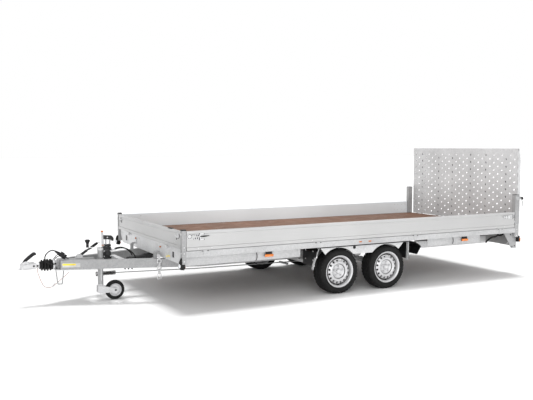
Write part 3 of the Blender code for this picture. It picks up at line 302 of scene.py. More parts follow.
class Shape:
    """A mesh in the making, in millimetres; it lies on the right where its side is -1."""

    def __init__(self, side=1):
        self.mesh, self.side = bmesh.new(), side

    def own(self, place):
        """A place or direction given for the left side, on the shape's side."""
        return Vector((place[0], place[1] * self.side, place[2]))

    def skin(self, rings, capped=True, looped=False):
        """Faces from ring to ring, and over the first and last ring if capped."""
        rings = [[self.mesh.verts.new(p) for p in ring] for ring in rings]
        for low, high in zip(rings, rings[1:] + rings[:looped]):
            for k in range(max(len(low), len(high))):
                corners = [low[k % len(low)], low[(k + 1) % len(low)], high[(k + 1) % len(high)], high[k % len(high)]]
                self.mesh.faces.new(list(dict.fromkeys(corners)))
        if capped:
            self.mesh.faces.new(rings[0])
            self.mesh.faces.new(rings[-1])
        return self

    def block(self, centre, size, bevel=0, turn=Matrix.Identity(4), segments=2, profile=0.6):
        """Box with softened edges."""
        made = bmesh.ops.create_cube(self.mesh, size=1)["verts"]
        place = Matrix.Translation(self.own(centre)) @ turn @ Matrix.Diagonal((*size, 1))
        bmesh.ops.transform(self.mesh, verts=made, matrix=place)
        if bevel:
            bmesh.ops.bevel(self.mesh, geom=list({e for v in made for e in v.link_edges}), offset=bevel,
                            segments=segments, affect="EDGES", profile=profile)
        return self

    def turned(self, profile, centre, axis, sides=24, capped=True):
        """Turned form of (radius, place along axis); flat faces close its ends if capped."""
        spin = self.own(axis).to_track_quat("Z", "Y").to_matrix().to_4x4()
        place = Matrix.Translation(self.own(centre)) @ spin
        if capped and profile[0][0]:
            profile = [(0, profile[0][1])] + profile
        if capped and profile[-1][0]:
            profile = profile + [(0, profile[-1][1])]
        rings = []
        for radius, height in profile:
            angles = [math.tau * k / sides for k in range(sides if radius else 1)]
            rings.append([place @ Vector((radius * math.cos(a), radius * math.sin(a), height)) for a in angles])
        return self.skin(rings, False)

    def rod(self, start, end, radius, sides=16, soft=0):
        length, soft = (end - start).length, soft or radius * 0.12
        profile = [(radius - soft, 0), (radius, soft), (radius, length - soft), (radius - soft, length)]
        return self.turned(profile, start, end - start, sides)

    def tube(self, points, radius, sides=12):
        """Round bar along points, joined smoothly."""
        points = [self.own(p) for p in points]
        rings, side = [], None
        for i, p in enumerate(points):
            before = (p - points[i - 1]).normalized() if i else (points[1] - p).normalized()
            after = (points[i + 1] - p).normalized() if i + 1 < len(points) else before
            along = (before + after).normalized()
            side = along.orthogonal().normalized() if side is None else (side - along * side.dot(along)).normalized()
            up = along.cross(side)
            angles = [math.tau * k / sides for k in range(sides)]
            rings.append([p + radius * (side * math.cos(a) + up * math.sin(a)) for a in angles])
        return self.skin(rings)

    def wire(self, points, radius, sides=12):
        """Round bar on a smooth route through points."""
        return self.tube(smooth_route([at(*p) for p in points]), radius, sides)

    def taper(self, points, radii, sides=20, flat=1.0):
        """Round form along points in one upright plane, its radius changing from point to point."""
        points = [self.own(p) for p in points]
        rings, side = [], Y
        for i, p in enumerate(points):
            before = p - points[i - 1] if i else points[1] - p
            after = points[i + 1] - p if i + 1 < len(points) else before
            up = (before.normalized() + after.normalized()).normalized().cross(side).normalized()
            angles = [math.tau * k / sides for k in range(sides)]
            rings.append([p + radii[i] * (side * math.cos(a) * flat + up * math.sin(a)) for a in angles])
        return self.skin(rings)

    def bolt(self, place, axis, head=6, high=4):
        """Hexagon head on a washer."""
        self.turned([(head * 1.35, 0), (head * 1.35, 1.5)], place, axis, 20)
        top = Vector(place) + Vector(axis).normalized() * 1.5
        return self.turned([(head, 0), (head, high * 0.85), (head * 0.86, high), (0, high)], top, axis, 6, False)

    def plate(self, outline, y_low, y_high):
        """Plate from an outline of (x, z) stations, between two widths."""
        return self.skin([[self.own(at(x, y, z)) for x, z in outline] for y in (y_low, y_high)])

    def joined(self):
        bmesh.ops.remove_doubles(self.mesh, verts=self.mesh.verts, dist=0.01)
        return self

    def made(self, name="piece", closed=True):
        """The finished mesh, in metres."""
        mesh = bpy.data.meshes.new(name)
        if closed:
            bmesh.ops.recalc_face_normals(self.mesh, faces=self.mesh.faces)
        self.mesh.to_mesh(mesh)
        self.mesh.free()
        mesh.transform(Matrix.Scale(MM, 4))
        return mesh

    def show(self, name, material, body="chassis", **facts):
        return show(name, self.made(), material, body, **facts)


def cut_away(mesh, cutter):
    """The mesh less the cutter, both closed."""
    base = bpy.data.objects.new("cut_base", mesh)
    tool = bpy.data.objects.new("cut_tool", cutter)
    for item in (base, tool):
        bpy.context.scene.collection.objects.link(item)
    step = base.modifiers.new("cut", "BOOLEAN")
    step.operation = "DIFFERENCE"
    step.solver = "EXACT"
    step.object = tool
    bpy.context.view_layer.update()
    result = bpy.data.meshes.new_from_object(base.evaluated_get(bpy.context.evaluated_depsgraph_get()))
    for item in (base, tool):
        bpy.data.objects.remove(item)
    return result


BODY_OF_WHEEL = {p + "_" + s: "wheel_" + p + "_" + s for p in ("front", "rear") for s in ("left", "right")}

# Wheels: tyre with tread, pressed steel rim, bolts, cap, drum and valve, and dark rings of painted shade in the rim's
# groove and round its centre bowl
TYRE_PROFILE = [(184, -82), (190, -90), (205, -95.5), (222, -97), (236, -93.5)]
TYRE_PROFILE += mirrored([(246, -86), (253.5, -77), (256, -70), (257, -52.5), (250, -50.5), (250, -43.5),
    (257.5, -41.5), (258, -21.5), (250.5, -19.5), (250.5, -12.5), (258, -10.5)])
TYRE_PROFILE += [(236, 93.5), (227, 95.8), (226.2, 97.2), (215, 97.2), (214.2, 95.8), (202, 94.5), (195, 92.5),
    (190, 91.5), (185, 88), (183, 80), (179, 60), (176, 0), (179, -60)]
TYRE_SIDES = 160
BLOCK_PITCH = 4
SIPE_DEPTH = 5.5
SHOULDER_FROM = 52.5
RIM_PROFILE = [(0, -30), (34, -30), (74, -30), (80, -26.5), (88, -15), (94, -9.5), (101, -7.5), (108, -8.5),
    (113.5, -13), (120, -16.5), (138, -23), (146, -32), (150, -42), (155.5, -44), (160, -38), (162.5, -20),
    (164, -13), (169, -7), (174.5, -3), (179, 0.2), (182.5, 0.4), (184.2, -3), (183, -11), (174, -16), (168, -48),
    (158, -66), (158, -120), (170, -148), (180, -164), (184, -174.4), (177, -172), (166, -150), (153, -123),
    (152, -64), (144, -44), (135, -28), (116, -22), (100, -14), (92, -16), (80, -37), (0, -37)]
RIM_FACE = 87.2
VENTS = 16
VENT_PLACE = 128.5
VENT_RADIUS = 13
BOLT_PLACE = 56


def tyre_mesh():
    rings = []
    for k in range(TYRE_SIDES):
        a = math.tau * k / TYRE_SIDES
        ring = []
        for radius, across in TYRE_PROFILE:
            shift = 1 if across > 0 else 0
            if radius > 245.5 and abs(across) > SHOULDER_FROM and (k + shift * 2) % BLOCK_PITCH == 0:
                radius -= SIPE_DEPTH
            elif radius > 257.1 and (k + shift) % (BLOCK_PITCH * 2) == 0:
                radius -= SIPE_DEPTH * 0.5
            ring.append((radius * math.cos(a), across, radius * math.sin(a)))
        rings.append(ring)
    return Shape().skin(rings, False, True).made("tyre")


def rim_mesh():
    work = Shape().turned([(r, y + RIM_FACE) for r, y in RIM_PROFILE], (0, 0, 0), Y, 96)
    disc = work.made("rim")
    work = Shape()
    for k in range(VENTS):
        a = math.tau * (k + 0.5) / VENTS
        middle = Vector((VENT_PLACE * math.cos(a), RIM_FACE - 60, VENT_PLACE * math.sin(a)))
        work.turned([(VENT_RADIUS, 0), (VENT_RADIUS, 60)], middle, Y, 14)
    return cut_away(disc, work.made("vents"))


def hub_mesh():
    """Five cone-seat bolts and the domed cap."""
    work = Shape()
    face = RIM_FACE - 30
    for k in range(5):
        a = math.tau * (k + 0.25) / 5
        place = Vector((BOLT_PLACE * math.cos(a), face, BOLT_PLACE * math.sin(a)))
        work.turned([(13.5, 0), (13.5, 2), (10.5, 6)], place, Y, 20)
        top = place + Vector((0, 6, 0))
        work.turned([(9.8, 0), (9.8, 11), (8, 13.5), (0, 13.5)], top, Y, 6, False)
    cap = [(33.5, 0), (33.5, 12), (31, 17.5), (28.5, 18.5), (26.5, 24), (20, 28.5), (10, 30.5), (0, 31)]
    work.turned(cap, (0, face, 0), Y, 40, False)
    return work.made("hub")


def drum_mesh():
    work = Shape()
    profile = [(0, -38), (60, -38), (66, -46), (108, -50), (114, -56), (114, -105), (122, -108), (122, -116),
        (0, -116)]
    work.turned([(r, y + RIM_FACE) for r, y in profile], (0, 0, 0), Y, 48)
    # Two thin dark rings laid on the rim: painted shade in its outer groove and at the edge of its centre bowl.
    for outer in ([(143.5, -27.2), (146.5, -31), (150.5, -40.5), (155, -42.5), (158.5, -38.5)], [(80, -25),
            (83, -20.5), (85, -18)]):
        inner = [(r, y - 1.6) for r, y in reversed(outer)]
        work.turned([(r, y + RIM_FACE) for r, y in outer + inner + outer[:1]], (0, 0, 0), Y, 72, False)
    return work.joined().made("drum")


def valve_mesh():
    work = Shape()
    place = Vector((0, RIM_FACE - 34, -156.5))
    work.turned([(6, 0), (4.5, 12), (3.8, 26), (3.2, 34)], place, (0, 0.94, 0.34), 14)
    return work.made("valve")


def make_wheels():
    parts = (("tyre", tyre_mesh(), TYRE, "tyre"), ("rim", rim_mesh(), SILVER, "silver"), ("hub", hub_mesh(),
        SILVER, "silver"), ("drum", drum_mesh(), DRUM, "galvanised"), ("valve", valve_mesh(), RUBBER, "tyre"))
    for node_name, body in BODY_OF_WHEEL.items():
        low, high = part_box("tyre_" + node_name)
        centre = (low + high) / 2
        turn = Matrix.Rotation(math.pi, 4, "Z") if centre.y < 0 else Matrix.Identity(4)
        for part, mesh, material, slot_name in parts:
            own = mesh.copy()
            own.transform(Matrix.Translation(centre) @ turn)
            node = part + "_" + node_name if part in ("tyre", "rim") else None
            show("wheel_" + part + "_" + node_name, own, material, body, slot_name, 32, node)


make_wheels()


# Bed and body pieces
SIDES = (("left", 1), ("right", -1))
HINGES = (-251, -1605, -2967, -4352)
RAIL_LOW = 558
AXLE_PLACES, AXLE_HIGH = (-1940, -2610), 254.8
GUARD_RADIUS = 272


def both_sides(make):
    for name, side in SIDES:
        make(name, side)


def arc_points(cx, cz, radius, start, end, steps):
    points = []
    for k in range(steps + 1):
        a = math.radians(start + (end - start) * k / steps)
        points.append((cx + radius * math.cos(a), cz + radius * math.sin(a)))
    return points


def make_mudguard_skins(name, side):
    work = Shape(side)
    lower = arc_points(AXLE_PLACES[0], AXLE_HIGH, GUARD_RADIUS, 48, 137, 22)
    lower += arc_points(AXLE_PLACES[1], AXLE_HIGH, GUARD_RADIUS, 43, 132, 22)
    outline = [(-1690, 539.5)] + lower + [(-2870, 539.5)]
    work.plate(outline, 1004.5, 1008.5)
    skin = work.made("skin")
    work = Shape(side).turned([(20.5, -20), (20.5, 20)], at(-2155, 1006, 517), Y, 20)
    skin = cut_away(skin, work.made("hole"))
    show("mudguard_skin_" + name, skin, ZINC)
    # Black disc behind the hole in the skin: painted shade of the space behind it.
    Shape(side).turned([(21.5, 0), (21.5, 1)], at(-2155, 1003.5, 517), Y, 20).show("mudguard_hole_shade_" + name, BLACK)
    work = Shape(side)
    strip = smooth_route([(-1662, 0, 540), (-1650, 0, 512), (-1628, 0, 455), (-1604, 0, 385), (-1589, 0, 335),
        (-1584, 0, 303)], 5)
    outer = [(p.x, p.z) for p in strip]
    inner = [(p.x - 4.5, p.z - 1) for p in reversed(strip)]
    work.plate(outer + inner, 995, 1031)
    work.bolt(at(-1595, 1031, 345), Y).show("mudguard_stay_" + name, ZINC)
    work = Shape(side)
    rear = [(-2928.5, 535), (-2924, 535), (-2923.5, 420), (-2919, 320), (-2923.5, 320), (-2928.5, 420)]
    work.plate(rear, 990, 1030)
    for z in (520, 360):
        work.bolt(at(-2936, 1012, z), (-1, 0, 0))
    for z in (500, 400):
        work.bolt(at(-1619.5, 970, z), X)
        work.bolt(at(-1619.5, 810, z), X)
    work.show("mudguard_edge_" + name, ZINC)


def make_aprons(name, side):
    """Folded closing plates under the rails, which carry the side markers."""
    work = Shape(side)
    for start, end in ((-1410, -50), (-4060, -3205)):
        outline = [(start + 12, 464), (end - 12, 464), (end, 476), (end, RAIL_LOW - 0.5), (start, RAIL_LOW - 0.5),
            (start, 476)]
        work.plate(outline, 1039.5, 1042)
        count = int((end - start) / 300)
        for k in range(count + 1):
            work.bolt(at(start + 40 + k * 300, 1042, 546), Y, 5, 3)
    work.show("apron_" + name, BODY_SHADED_ZINC, "bed")


def make_side_markers(name, side):
    for place, x in (("front", -1010), ("rear", -3790)):
        node_name = "side_marker_" + place + "_" + name
        work = Shape(side).block(at(x, 1056, 540.5), (68, 24, 33), 3)
        work.block(at(x, 1049, 512), (92, 10, 30), 4)
        work.show(node_name + "_holder", BLACK, "bed", slot="orange_lens", node=node_name)
        work = Shape(side).block(at(x, 1062.5, 510.5), (104, 22, 30), 10, segments=5, profile=0.5)
        work.show(node_name + "_lens", ORANGE, "bed", smooth=60, node=node_name)


def make_position_lamps(name, side):
    node_name = "position_lamp_" + name
    y = 1090
    work = Shape(side)
    arm = [(1, 553), (10, 553), (24, 520), (28, 480), (18, 440), (-16, 434), (-29, 450), (-29, 489.5), (1, 489.5)]
    work.plate(arm, 1076, 1106).show(node_name + "_arm", RUBBER, "bed", slot="black", node=node_name)
    work = Shape(side)
    spin = Vector((1, 0, 0.12)).normalized()
    profile = [(0, 0), (19, 0), (21, 3), (20.5, 10), (14, 16.5), (0, 19)]
    work.turned(profile, at(20, y, 475), spin, 28)
    work.show(node_name + "_lens", WHITE, "bed", slot="black", smooth=50, node=node_name)
    work = Shape(side).turned([(15, 0), (16, 3), (11, 9), (0, 11)], at(-27, y, 462), (-1, 0, 0), 24)
    work.show(node_name + "_red", RED, "bed", slot="black", smooth=50, node=node_name)


def make_rear_lamps(name, side):
    back = -4662.5
    node_name = "rear_lamp_" + name
    work = Shape(side).block(at(back - 20, 890, 425), (38, 200, 100), 6)
    work.block(at(back - 4, 890, 485), (6, 120, 20), 2)
    work.show(node_name + "_housing", BLACK, "bed", slot="red_lens", node=node_name)
    for part, material, low, high in (("stop", RED, 793, 853), ("turn", ORANGE, 927.5, 987),
            ("clear", WHITE, 855.5, 889), ("fog", RED, 891.5, 925)):
        work = Shape(side)
        work.block(at(back - 55, (low + high) / 2, 425), (40, high - low, 94), 7, segments=4, profile=0.5)
        work.show(node_name + "_" + part, material, "bed", slot="red_lens", smooth=60, node=node_name)


def make_post_fittings(name, side):
    work = Shape(side).block(at(-22.5, 1077.5, 837.5), (47, 47, 7), 2)
    work.block(at(-22.5, 1077.5, 832), (46.5, 46.5, 5), 1)
    work.block(at(-4645, 1072.5, 1048), (71, 56, 6), 2).show("post_caps_" + name, BLACK, "bed")
    work = Shape(side)
    for z in (520, 600, 660):
        work.bolt(at(-22.5, 1100, z), Y)
        work.bolt(at(-4645, 1100, z), Y)
    work.bolt(at(0, 1077.5, 600), X)
    work.turned([(12, 0), (13, 4)], at(0, 1077.5, 795), X, 24)
    for z in (700, 745):
        work.block(at(-4610, 1088, z), (16, 20, 22), 3)
    work.show("post_bolts_" + name, ZINC, "bed")


def make_board_latches(name, side):
    """Over-centre fasteners at the boards' ends, and the strap with its rivets at the rear."""
    body = "side_board_" + name
    work = Shape(side).turned([(29, 0), (31, 2), (31, 6), (20, 8), (9, 10.5)], at(-82, 1093.5, 770), Y, 32)
    work.turned([(7, 0), (7, 3), (0, 3)], at(-82, 1104, 770), Y, 6, False)
    lever = [(-206, 749), (-192, 736), (-106, 740), (-106, 788), (-192, 790), (-206, 777)]
    work.plate(lever, 1093.5, 1099.5)
    for z in (735, 791):
        work.block(at(-216, 1096.5, z), (46, 6, 13), 2)
    rear = [(-4600, 741), (-4415, 753), (-4398, 767), (-4415, 781), (-4600, 794)]
    work.plate(rear, 1093.5, 1106.2).show("board_fastener_" + name, ZINC, body)
    work = Shape(side)
    for x in (-4430, -4470, -4530, -4575):
        for z in (757, 777):
            work.turned([(5.2, 0), (4.2, 2.2), (0, 3)], at(x, 1106.2, z), Y, 12)
    work.tube([at(x, 1100.8, z) for x, z in arc_points(-82, 770, 22, 0, 360, 24)], 2.2, 8)
    for x in (-118, -141, -163, -184):
        work.block(at(x, 1100.4, 763), (9, 6, 46), 1, Matrix.Rotation(0.25, 4, "Y"))
    for z in (735, 791):
        work.block(at(-190, 1098.5, z), (7, 8, 15), 1)
        work.block(at(-242, 1096.5, z), (6, 6, 12), 1)
    work.taper([at(-196, 1099, 764), at(-245, 1099, 765), at(-298, 1099, 767)], [5, 7.5, 3], 12)
    for x in (-4565, -4595):
        work.block(at(x, 1103.5, 767), (9, 12, 52), 2)
    work.show("board_catch_" + name, PAINT, body)
    work = Shape(side)
    for x in HINGES:
        for shift in (-75, 75):
            work.turned(RIVET, at(x + shift, 1099.9, 643), Y, 12)
    for x in (-4360, -4420, -4500, -4560):
        for z in (700, 780):
            work.turned(RIVET, at(x, 1075.2, z), (0, -1, 0), 12)
    work.turned([(8, 0), (7, 3), (0, 4)], at(-300, 1075.2, 790), (0, -1, 0), 12)
    work.show("board_rivets_" + name, ZINC, body)


def make_hinges(name, side):
    """Hinge plates on the rails, with their screws, and dark blocks of painted shade in the hinges' gaps."""
    work = Shape(side)
    gap_shade = Shape(side)
    for x in HINGES:
        work.block(at(x, 1101, 600), (150, 1.6, 30), 0.4)
        for shift in (-55, 55):
            work.turned([(6, 0), (5.5, 1.6), (0, 1.8)], at(x + shift, 1101.6, 600), Y, 16)
        for shift in (-30, 30):
            # Dark blocks at the hinges: painted shade of the gaps between the knuckles.
            gap_shade.block(at(x + shift, 1102.6, 617), (20, 4, 10), 1)
        gap_shade.block(at(x, 1102.4, 604), (18, 3.6, 12), 1)
    work.show("hinge_plates_" + name, BODY_SHADED_ZINC, "bed")
    gap_shade.show("hinge_gap_shade_" + name, PAINT, "bed")


both_sides(make_mudguard_skins)
both_sides(make_aprons)
both_sides(make_side_markers)
both_sides(make_position_lamps)
both_sides(make_rear_lamps)
both_sides(make_post_fittings)
both_sides(make_hinges)


# Drawbar pieces
def tapered(route, radii, steps=5):
    """Smoothed points of a route with the radii spread along them."""
    points = smooth_route(route, steps)
    spread = []
    for i in range(len(points)):
        place = i / steps
        low = min(int(place), len(radii) - 2)
        share = min(place - low, 1.0)
        spread.append(radii[low] * (1 - share) + radii[low + 1] * share)
    return points, spread


def make_coupling():
    work = Shape()
    route = [at(1338, 0, 456.5), at(1325, 0, 476), at(1290, 0, 505), at(1255, 0, 532), at(1236, 0, 545),
        at(1224, 0, 541), at(1220, 0, 530)]
    points, radii = tapered(route, [11, 16, 18.5, 18.5, 18, 15, 8])
    work.taper(points, radii, 20, 1.35).show("coupling_grip", BLACK, smooth=60, node="coupling_handle")
    work, dark = Shape(), Shape()
    work.block(at(1318, 0, 459), (62, 46, 9), 2)
    for side in (1, -1):
        work.plate([(1352, 440), (1352, 462), (1330, 474), (1306, 470), (1290, 446)], side * 26.5, side * 30.5)
        for x, z, size in ((1322, 452, 7.5), (1242, 418, 8), (1205, 418, 8)):
            reach = 30.5 if x > 1300 else 30
            (work if x > 1300 else dark).bolt(at(x, side * reach, z), (0, side, 0), size, 6)
        work.plate([(1262, 400), (1262, 436), (1186, 436), (1186, 400)], side * 28.5, side * 30.5)
    work.wire([(1384, -24, 391), (1391, 0, 391), (1384, 24, 391)], 5, 12).show("coupling_fittings", SILVER)
    dark.show("coupling_bolts", DRUM)


def make_bellows():
    profile = [(0, 1046.5), (50, 1046.5), (53, 1050)]
    folds = 4
    step = (1172 - 1052) / folds
    for k in range(folds):
        start = 1052 + k * step
        crest = 60 + (4, 6, 4.5, -1)[k]
        profile += [(crest - 19, start + step * 0.06), (crest - 3, start + step * 0.32), (crest, start + step * 0.50),
            (crest - 3, start + step * 0.68), (crest - 19, start + step * 0.94)]
    profile += [(38, 1173), (37, 1175.5), (0, 1175.5)]
    Shape().turned(profile, at(0, 0, 418), X, 48).show("drawbar_bellows", RUBBER, smooth=50, node="bellows")
    work = Shape()
    work.turned([(31, 1176.5), (41, 1176.5), (43, 1179), (41, 1183), (31, 1183)], at(0, 0, 418), X, 40, False)
    work.show("bellows_ring", PAINT, slot="hose")
    work = Shape()
    work.turned([(43.5, 1026), (55.5, 1026), (57, 1030), (57, 1042), (55.5, 1045), (43.5, 1045)], at(0, 0, 418),
        X, 40, False)
    work.show("housing_collar", ZINC)


def make_handbrake():
    work = Shape()
    for side in (1, -1):
        work.plate([(806, 465.5), (716, 465.5), (732, 502), (752, 510), (778, 502)], side * 15, side * 18.5)
        work.bolt(at(757, side * 18.5, 488), (0, side, 0), 8, 6)
        work.bolt(at(786, side * 18.5, 474), (0, side, 0))
    work.wire([(632, -12, 563), (600, -16, 600), (560, -16, 620), (520, -12, 617)], 4.5, 12)
    work.show("handbrake_bracket", ZINC)
    work = Shape().rod(at(770, 0, 480), at(672, 0, 546), 14.5, 24, 3)
    work.rod(at(676, 0, 543), at(640, 0, 566), 9.5, 20, 2)
    work.block(at(762, 0, 478), (50, 24, 20), 4, Matrix.Rotation(0.3, 4, "Y"))
    work.show("handbrake_strut", PAINT, node="handbrake_lever")
    work = Shape()
    route = [at(650, 0, 558), at(625, 0, 574), at(600, 0, 590), at(572, 0, 609), at(556, 0, 620)]
    points, radii = tapered(route, [12, 14.5, 15, 15, 12], 8)
    for i in range(4, len(radii) - 4, 4):
        radii[i] -= 1.8
    work.taper(points, radii, 24).show("handbrake_grip", RUBBER, slot="black", smooth=60, node="handbrake_lever")


def make_jockey():
    x, y = 555, 100
    work = Shape()
    profile = [(0, 0), (13.5, 0), (15, 4), (14, 30), (16.5, 48), (24, 58), (28, 66), (28.5, 74), (24, 81), (12, 85),
        (0, 86)]
    work.turned(profile, at(692, y, 590.5), Z, 32).show("jockey_knob", BLACK, smooth=50)
    work = Shape()
    work.turned([(30.2, 0), (32.5, 0), (33.5, 3), (33.5, 20), (32.5, 23), (30.2, 23)], at(x, y, 553), Z, 36, False)
    work.turned([(30.2, 0), (31.8, 0), (31.8, 8), (30.2, 8)], at(x, y, 172), Z, 36, False)
    for z in (398, 440):
        work.bolt(at(x + 38.5, y, z), X, 7, 5)
    work.wire([(x, y + 38, 405), (x, y + 62, 402), (x - 4, y + 80, 385), (x - 8, y + 86, 352)], 5.5, 14)
    work.turned([(6.2, 0), (6.2, 12)], at(x, y + 30, 405), Y, 6)
    work.block(at(x, y + 31.2, 300), (10, 3, 160), 1).show("jockey_fittings", ZINC)
    low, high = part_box("jockey_tyre")
    centre = (low + high) / 2 / MM
    work = Shape()
    profile = mirrored([(66, -20), (70, -24.5), (82, -28.5), (93, -27.5), (100, -23.5), (104.5, -16.5), (106.6, -8)],
        [(107, 0)])
    work.turned(profile + profile[:1], centre, Y, 72, False)
    work.joined().show("jockey_wheel_tyre", TYRE, "jockey_wheel", smooth=50, node="jockey_tyre")
    work = Shape()
    profile = mirrored([(8.5, -30), (17, -30), (19, -27), (20, -14), (26, -9), (40, -12.5), (54, -8), (60, -14),
        (63, -23.5), (67.5, -25.5), (70.5, -23.5), (68, -19), (65, -15)])
    work.turned(profile + profile[:1], centre, Y, 60, False)
    work.joined().show("jockey_wheel_rim", SILVER, "jockey_wheel", slot="silver", node="jockey_rim")
    work = Shape()
    outline = [(592, 165), (592, 94), (582, 83), (452, 83), (440, 91), (434, 110), (440, 129), (452, 137), (520, 137),
        (528, 145), (528, 165)]
    for low_y in (64.5, 131.5):
        work.plate(outline, low_y, low_y + 4)
    work.show("jockey_fork_plates", SILVER, "jockey_fork")
    work = Shape()
    for side in (1, -1):
        work.bolt(centre + Y * side * 40.2, Y * side, 8.5, 6)
    work.show("jockey_axle_nuts", PAINT, "jockey_fork", slot="galvanised")


def make_pump():
    work = Shape()
    low = 440.5
    for size, z, high, soft in (((98, 94), low, 30, 6), ((88, 88), low + 30, 86, 14), ((94, 80), low + 108, 22, 6)):
        work.block(at(460, 0, z + high / 2), (*size, high), soft)
    work.turned([(20, 0), (22, 4), (22, 30)], at(460, 36, 500), Y, 28)
    work.turned([(13, 0), (11, 12)], at(492, 0, 566), Z, 20)
    work.plate([(486, 700), (402, 692), (380, 666), (382, 636), (400, 634), (412, 650), (452, 654), (488, 656)],
        -27, 27)
    work.block(at(445, 0, 586), (70, 40, 26), 5).show("pump_body", PAINT, smooth=45, node="hand_pump")
    work = Shape()
    for x in (465, 420):
        work.rod(at(x, 12, 570), at(x, 12, 656), 7, 16)
        work.rod(at(x, -12, 570), at(x, -12, 656), 7, 16)
    work.rod(at(498.5, 0, 586), at(503.5, 0, 738), 11.8, 24)
    work.bolt(at(452, 27.2, 676), Y)
    for z in (470, 530):
        for x in (425, 495):
            work.bolt(at(x, 44.5, z), Y, 5, 4)
    work.show("pump_handle", SILVER, node="pump_lever")
    work = Shape().turned([(13.5, 0), (13.5, 10), (10, 16), (0, 17)], at(503.5, 0, 734.5), Z, 24)
    work.turned([(11.8, 0), (14, 0), (14, 12), (11.8, 12)], at(498.5, 0, 584), Z, 24, False).show("pump_caps", BRASS)


NOSE_X, NOSE_Y, BEAM_SLOPE, BEAM_HALF = 980, 74, 0.35429, 31.8


def outer_face(x):
    """Outer face of a drawbar beam at a station."""
    return NOSE_Y + (NOSE_X - x) * BEAM_SLOPE + BEAM_HALF


def beam_plate(work, start, end, low, high, thick, lift):
    """Blank plate on the near beam's slanting outer face."""
    corners = ((low, lift), (high, lift), (high, lift + thick), (low, lift + thick))
    work.skin([[at(x, outer_face(x) + out, z) for z, out in corners] for x in (start, end)])


def make_plates():
    work = Shape()
    beam_plate(work, 965, 790, 394, 438, 1, 0.3)
    work.show("beam_label", PALE)
    Shape().block(at(-20.4, 645, 517), (1, 150, 34)).show("white_plates", PALE, "bed")
    work = Shape()
    beam_plate(work, 962, 835, 415, 432, 0.6, 1.4)
    work.show("yellow_strip", LABEL)
    work = Shape().block(at(-19.8, 672, 523), (0.8, 60, 14))
    work.block(at(-19.8, 610, 511), (0.8, 44, 12)).show("yellow_marks", LABEL, "bed")
    work = Shape()
    for x in (-2175, -2305):
        work.block(at(x, 1100.6, 589), (38, 1.2, 14))
    work.show("orange_marks", BRASS, "bed", slot="galvanised")


both_sides(make_board_latches)
make_coupling()
make_bellows()
make_handbrake()
make_jockey()
make_pump()
make_plates()


# Cords and chain
EASE_ROUNDS = 12


def make_cord(name, route, diameter, material, node_name, steps=8, **facts):
    """Cord on the chassis as one open curve on a smooth route."""
    points = smooth_route([at(*p) * MM for p in route], steps)
    for _ in range(EASE_ROUNDS):
        points[2:-2] = [(points[i - 1] + points[i] * 2 + points[i + 1]) / 4 for i in range(2, len(points) - 2)]
    curve = bpy.data.curves.new(name, "CURVE")
    curve.dimensions = "3D"
    curve.bevel_depth = diameter * MM / 2
    curve.bevel_resolution = 4
    curve.use_fill_caps = True
    line = curve.splines.new("POLY")
    line.points.add(len(points) - 1)
    for spot, p in zip(line.points, points):
        spot.co = (*p, 1)
    curve.materials.append(material)
    piece = bpy.data.objects.new(name, curve)
    bpy.context.scene.collection.objects.link(piece)
    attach(piece, "chassis")
    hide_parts(node_name)


def make_cords():
    for name, side in SIDES:
        route = [(409.4, 22, 535), (380, 22, 535), (320, 26, 552), (250, 34, 545), (187, 44, 503), (140, 56, 440),
            (150, 65, 385), (200, 66, 378), (255, 66, 402), (279, 66, 402)]
        route = [(x, side * y, z) for x, y, z in route]
        work = Shape(side)
        for x, z, way in ((411, 535, -1), (276, 402, 1)):
            y = 22 if way < 0 else 66
            reach = 52 if way < 0 else 24
            work.turned([(7.2, 0), (11.5, 0), (11.5, 12), (9.5, 14), (9.5, reach), (7.2, reach + 2)],
                at(x, y, z) if way < 0 else at(x - 20, y, z), (way, 0, 0.02), 20, False)
        ends = work.show("hose_ends_" + name, SILVER)
        make_cord("pressure_hose_" + name, route, 14, RUBBER, "hose_" + name, 6, far_end="object", stiffness="stiff",
            lay="loose", with_pieces=[ends])
    lead = [(1024, 42.8, 430), (1028, 64, 431), (1075, 84, 436), (1118, 84, 456), (1140, 76, 502), (1112, 62, 552),
        (1060, 50, 578), (1025.2, 50, 567.2)]
    make_cord("towing_plug_lead", lead, 12, RUBBER, "plug_lead", far_end="plug", stiffness="medium", lay="loose",
        with_pieces=make_plug())
    cable = [(1200, 0, 387.6), (1200, 0, 345), (1154, 40, 205), (1100, 46, 180), (1051, 40, 190), (930, 12, 275),
        (872, 0, 321)]
    work = Shape()
    work.wire([(1060, 41, 188), (1052, 52, 205), (1040, 48, 222), (1034, 36, 210), (1044, 34, 193)], 2.8, 12)
    work.turned([(4.2, 0), (6.5, 2), (6.5, 20), (4.2, 22)], at(1060, 40.5, 188), (-1, -0.05, 0.12), 16, False)
    clip = work.show("cable_clip", SILVER)
    make_cord("breakaway_rope", cable, 6, ROPE, "breakaway_cable", far_end="object", stiffness="limp", lay="hanging",
        with_pieces=[clip])


def make_plug():
    work = Shape()
    start, end = at(1025.5, 50, 567.2), at(916, 50, 487.5)
    along = (end - start).normalized()
    profile = [(6, -2), (8.5, 0), (9, 10), (12.5, 14), (14, 34), (16.5, 38), (17.5, 60), (22, 66), (22.5, 98),
        (24, 101), (24, 116), (22.5, 119), (22.5, 130), (19, 133.5), (0, 133.5)]
    work.turned([(0, -2)] + profile, start, along, 36)
    lift = along.cross(Y).normalized()
    if lift.z < 0:
        lift = -lift
    turn = Matrix((along, Y, lift)).transposed().to_4x4()
    work.block(start + along * 83 + lift * 26, (42, 22, 16), 4, turn)
    work.block(start + along * 124 + lift * 12, (16, 50, 36), 4, turn)
    body = work.show("towing_plug", BLACK, node="plug")
    work = Shape()
    work.turned([(6.2, 0), (11, 0), (10.5, 6), (7.2, 30), (6.2, 31)], at(1024, 41, 430), (0.15, 1, 0.02), 24, False)
    relief = work.show("lead_strain_relief", RUBBER)
    return [body, relief]


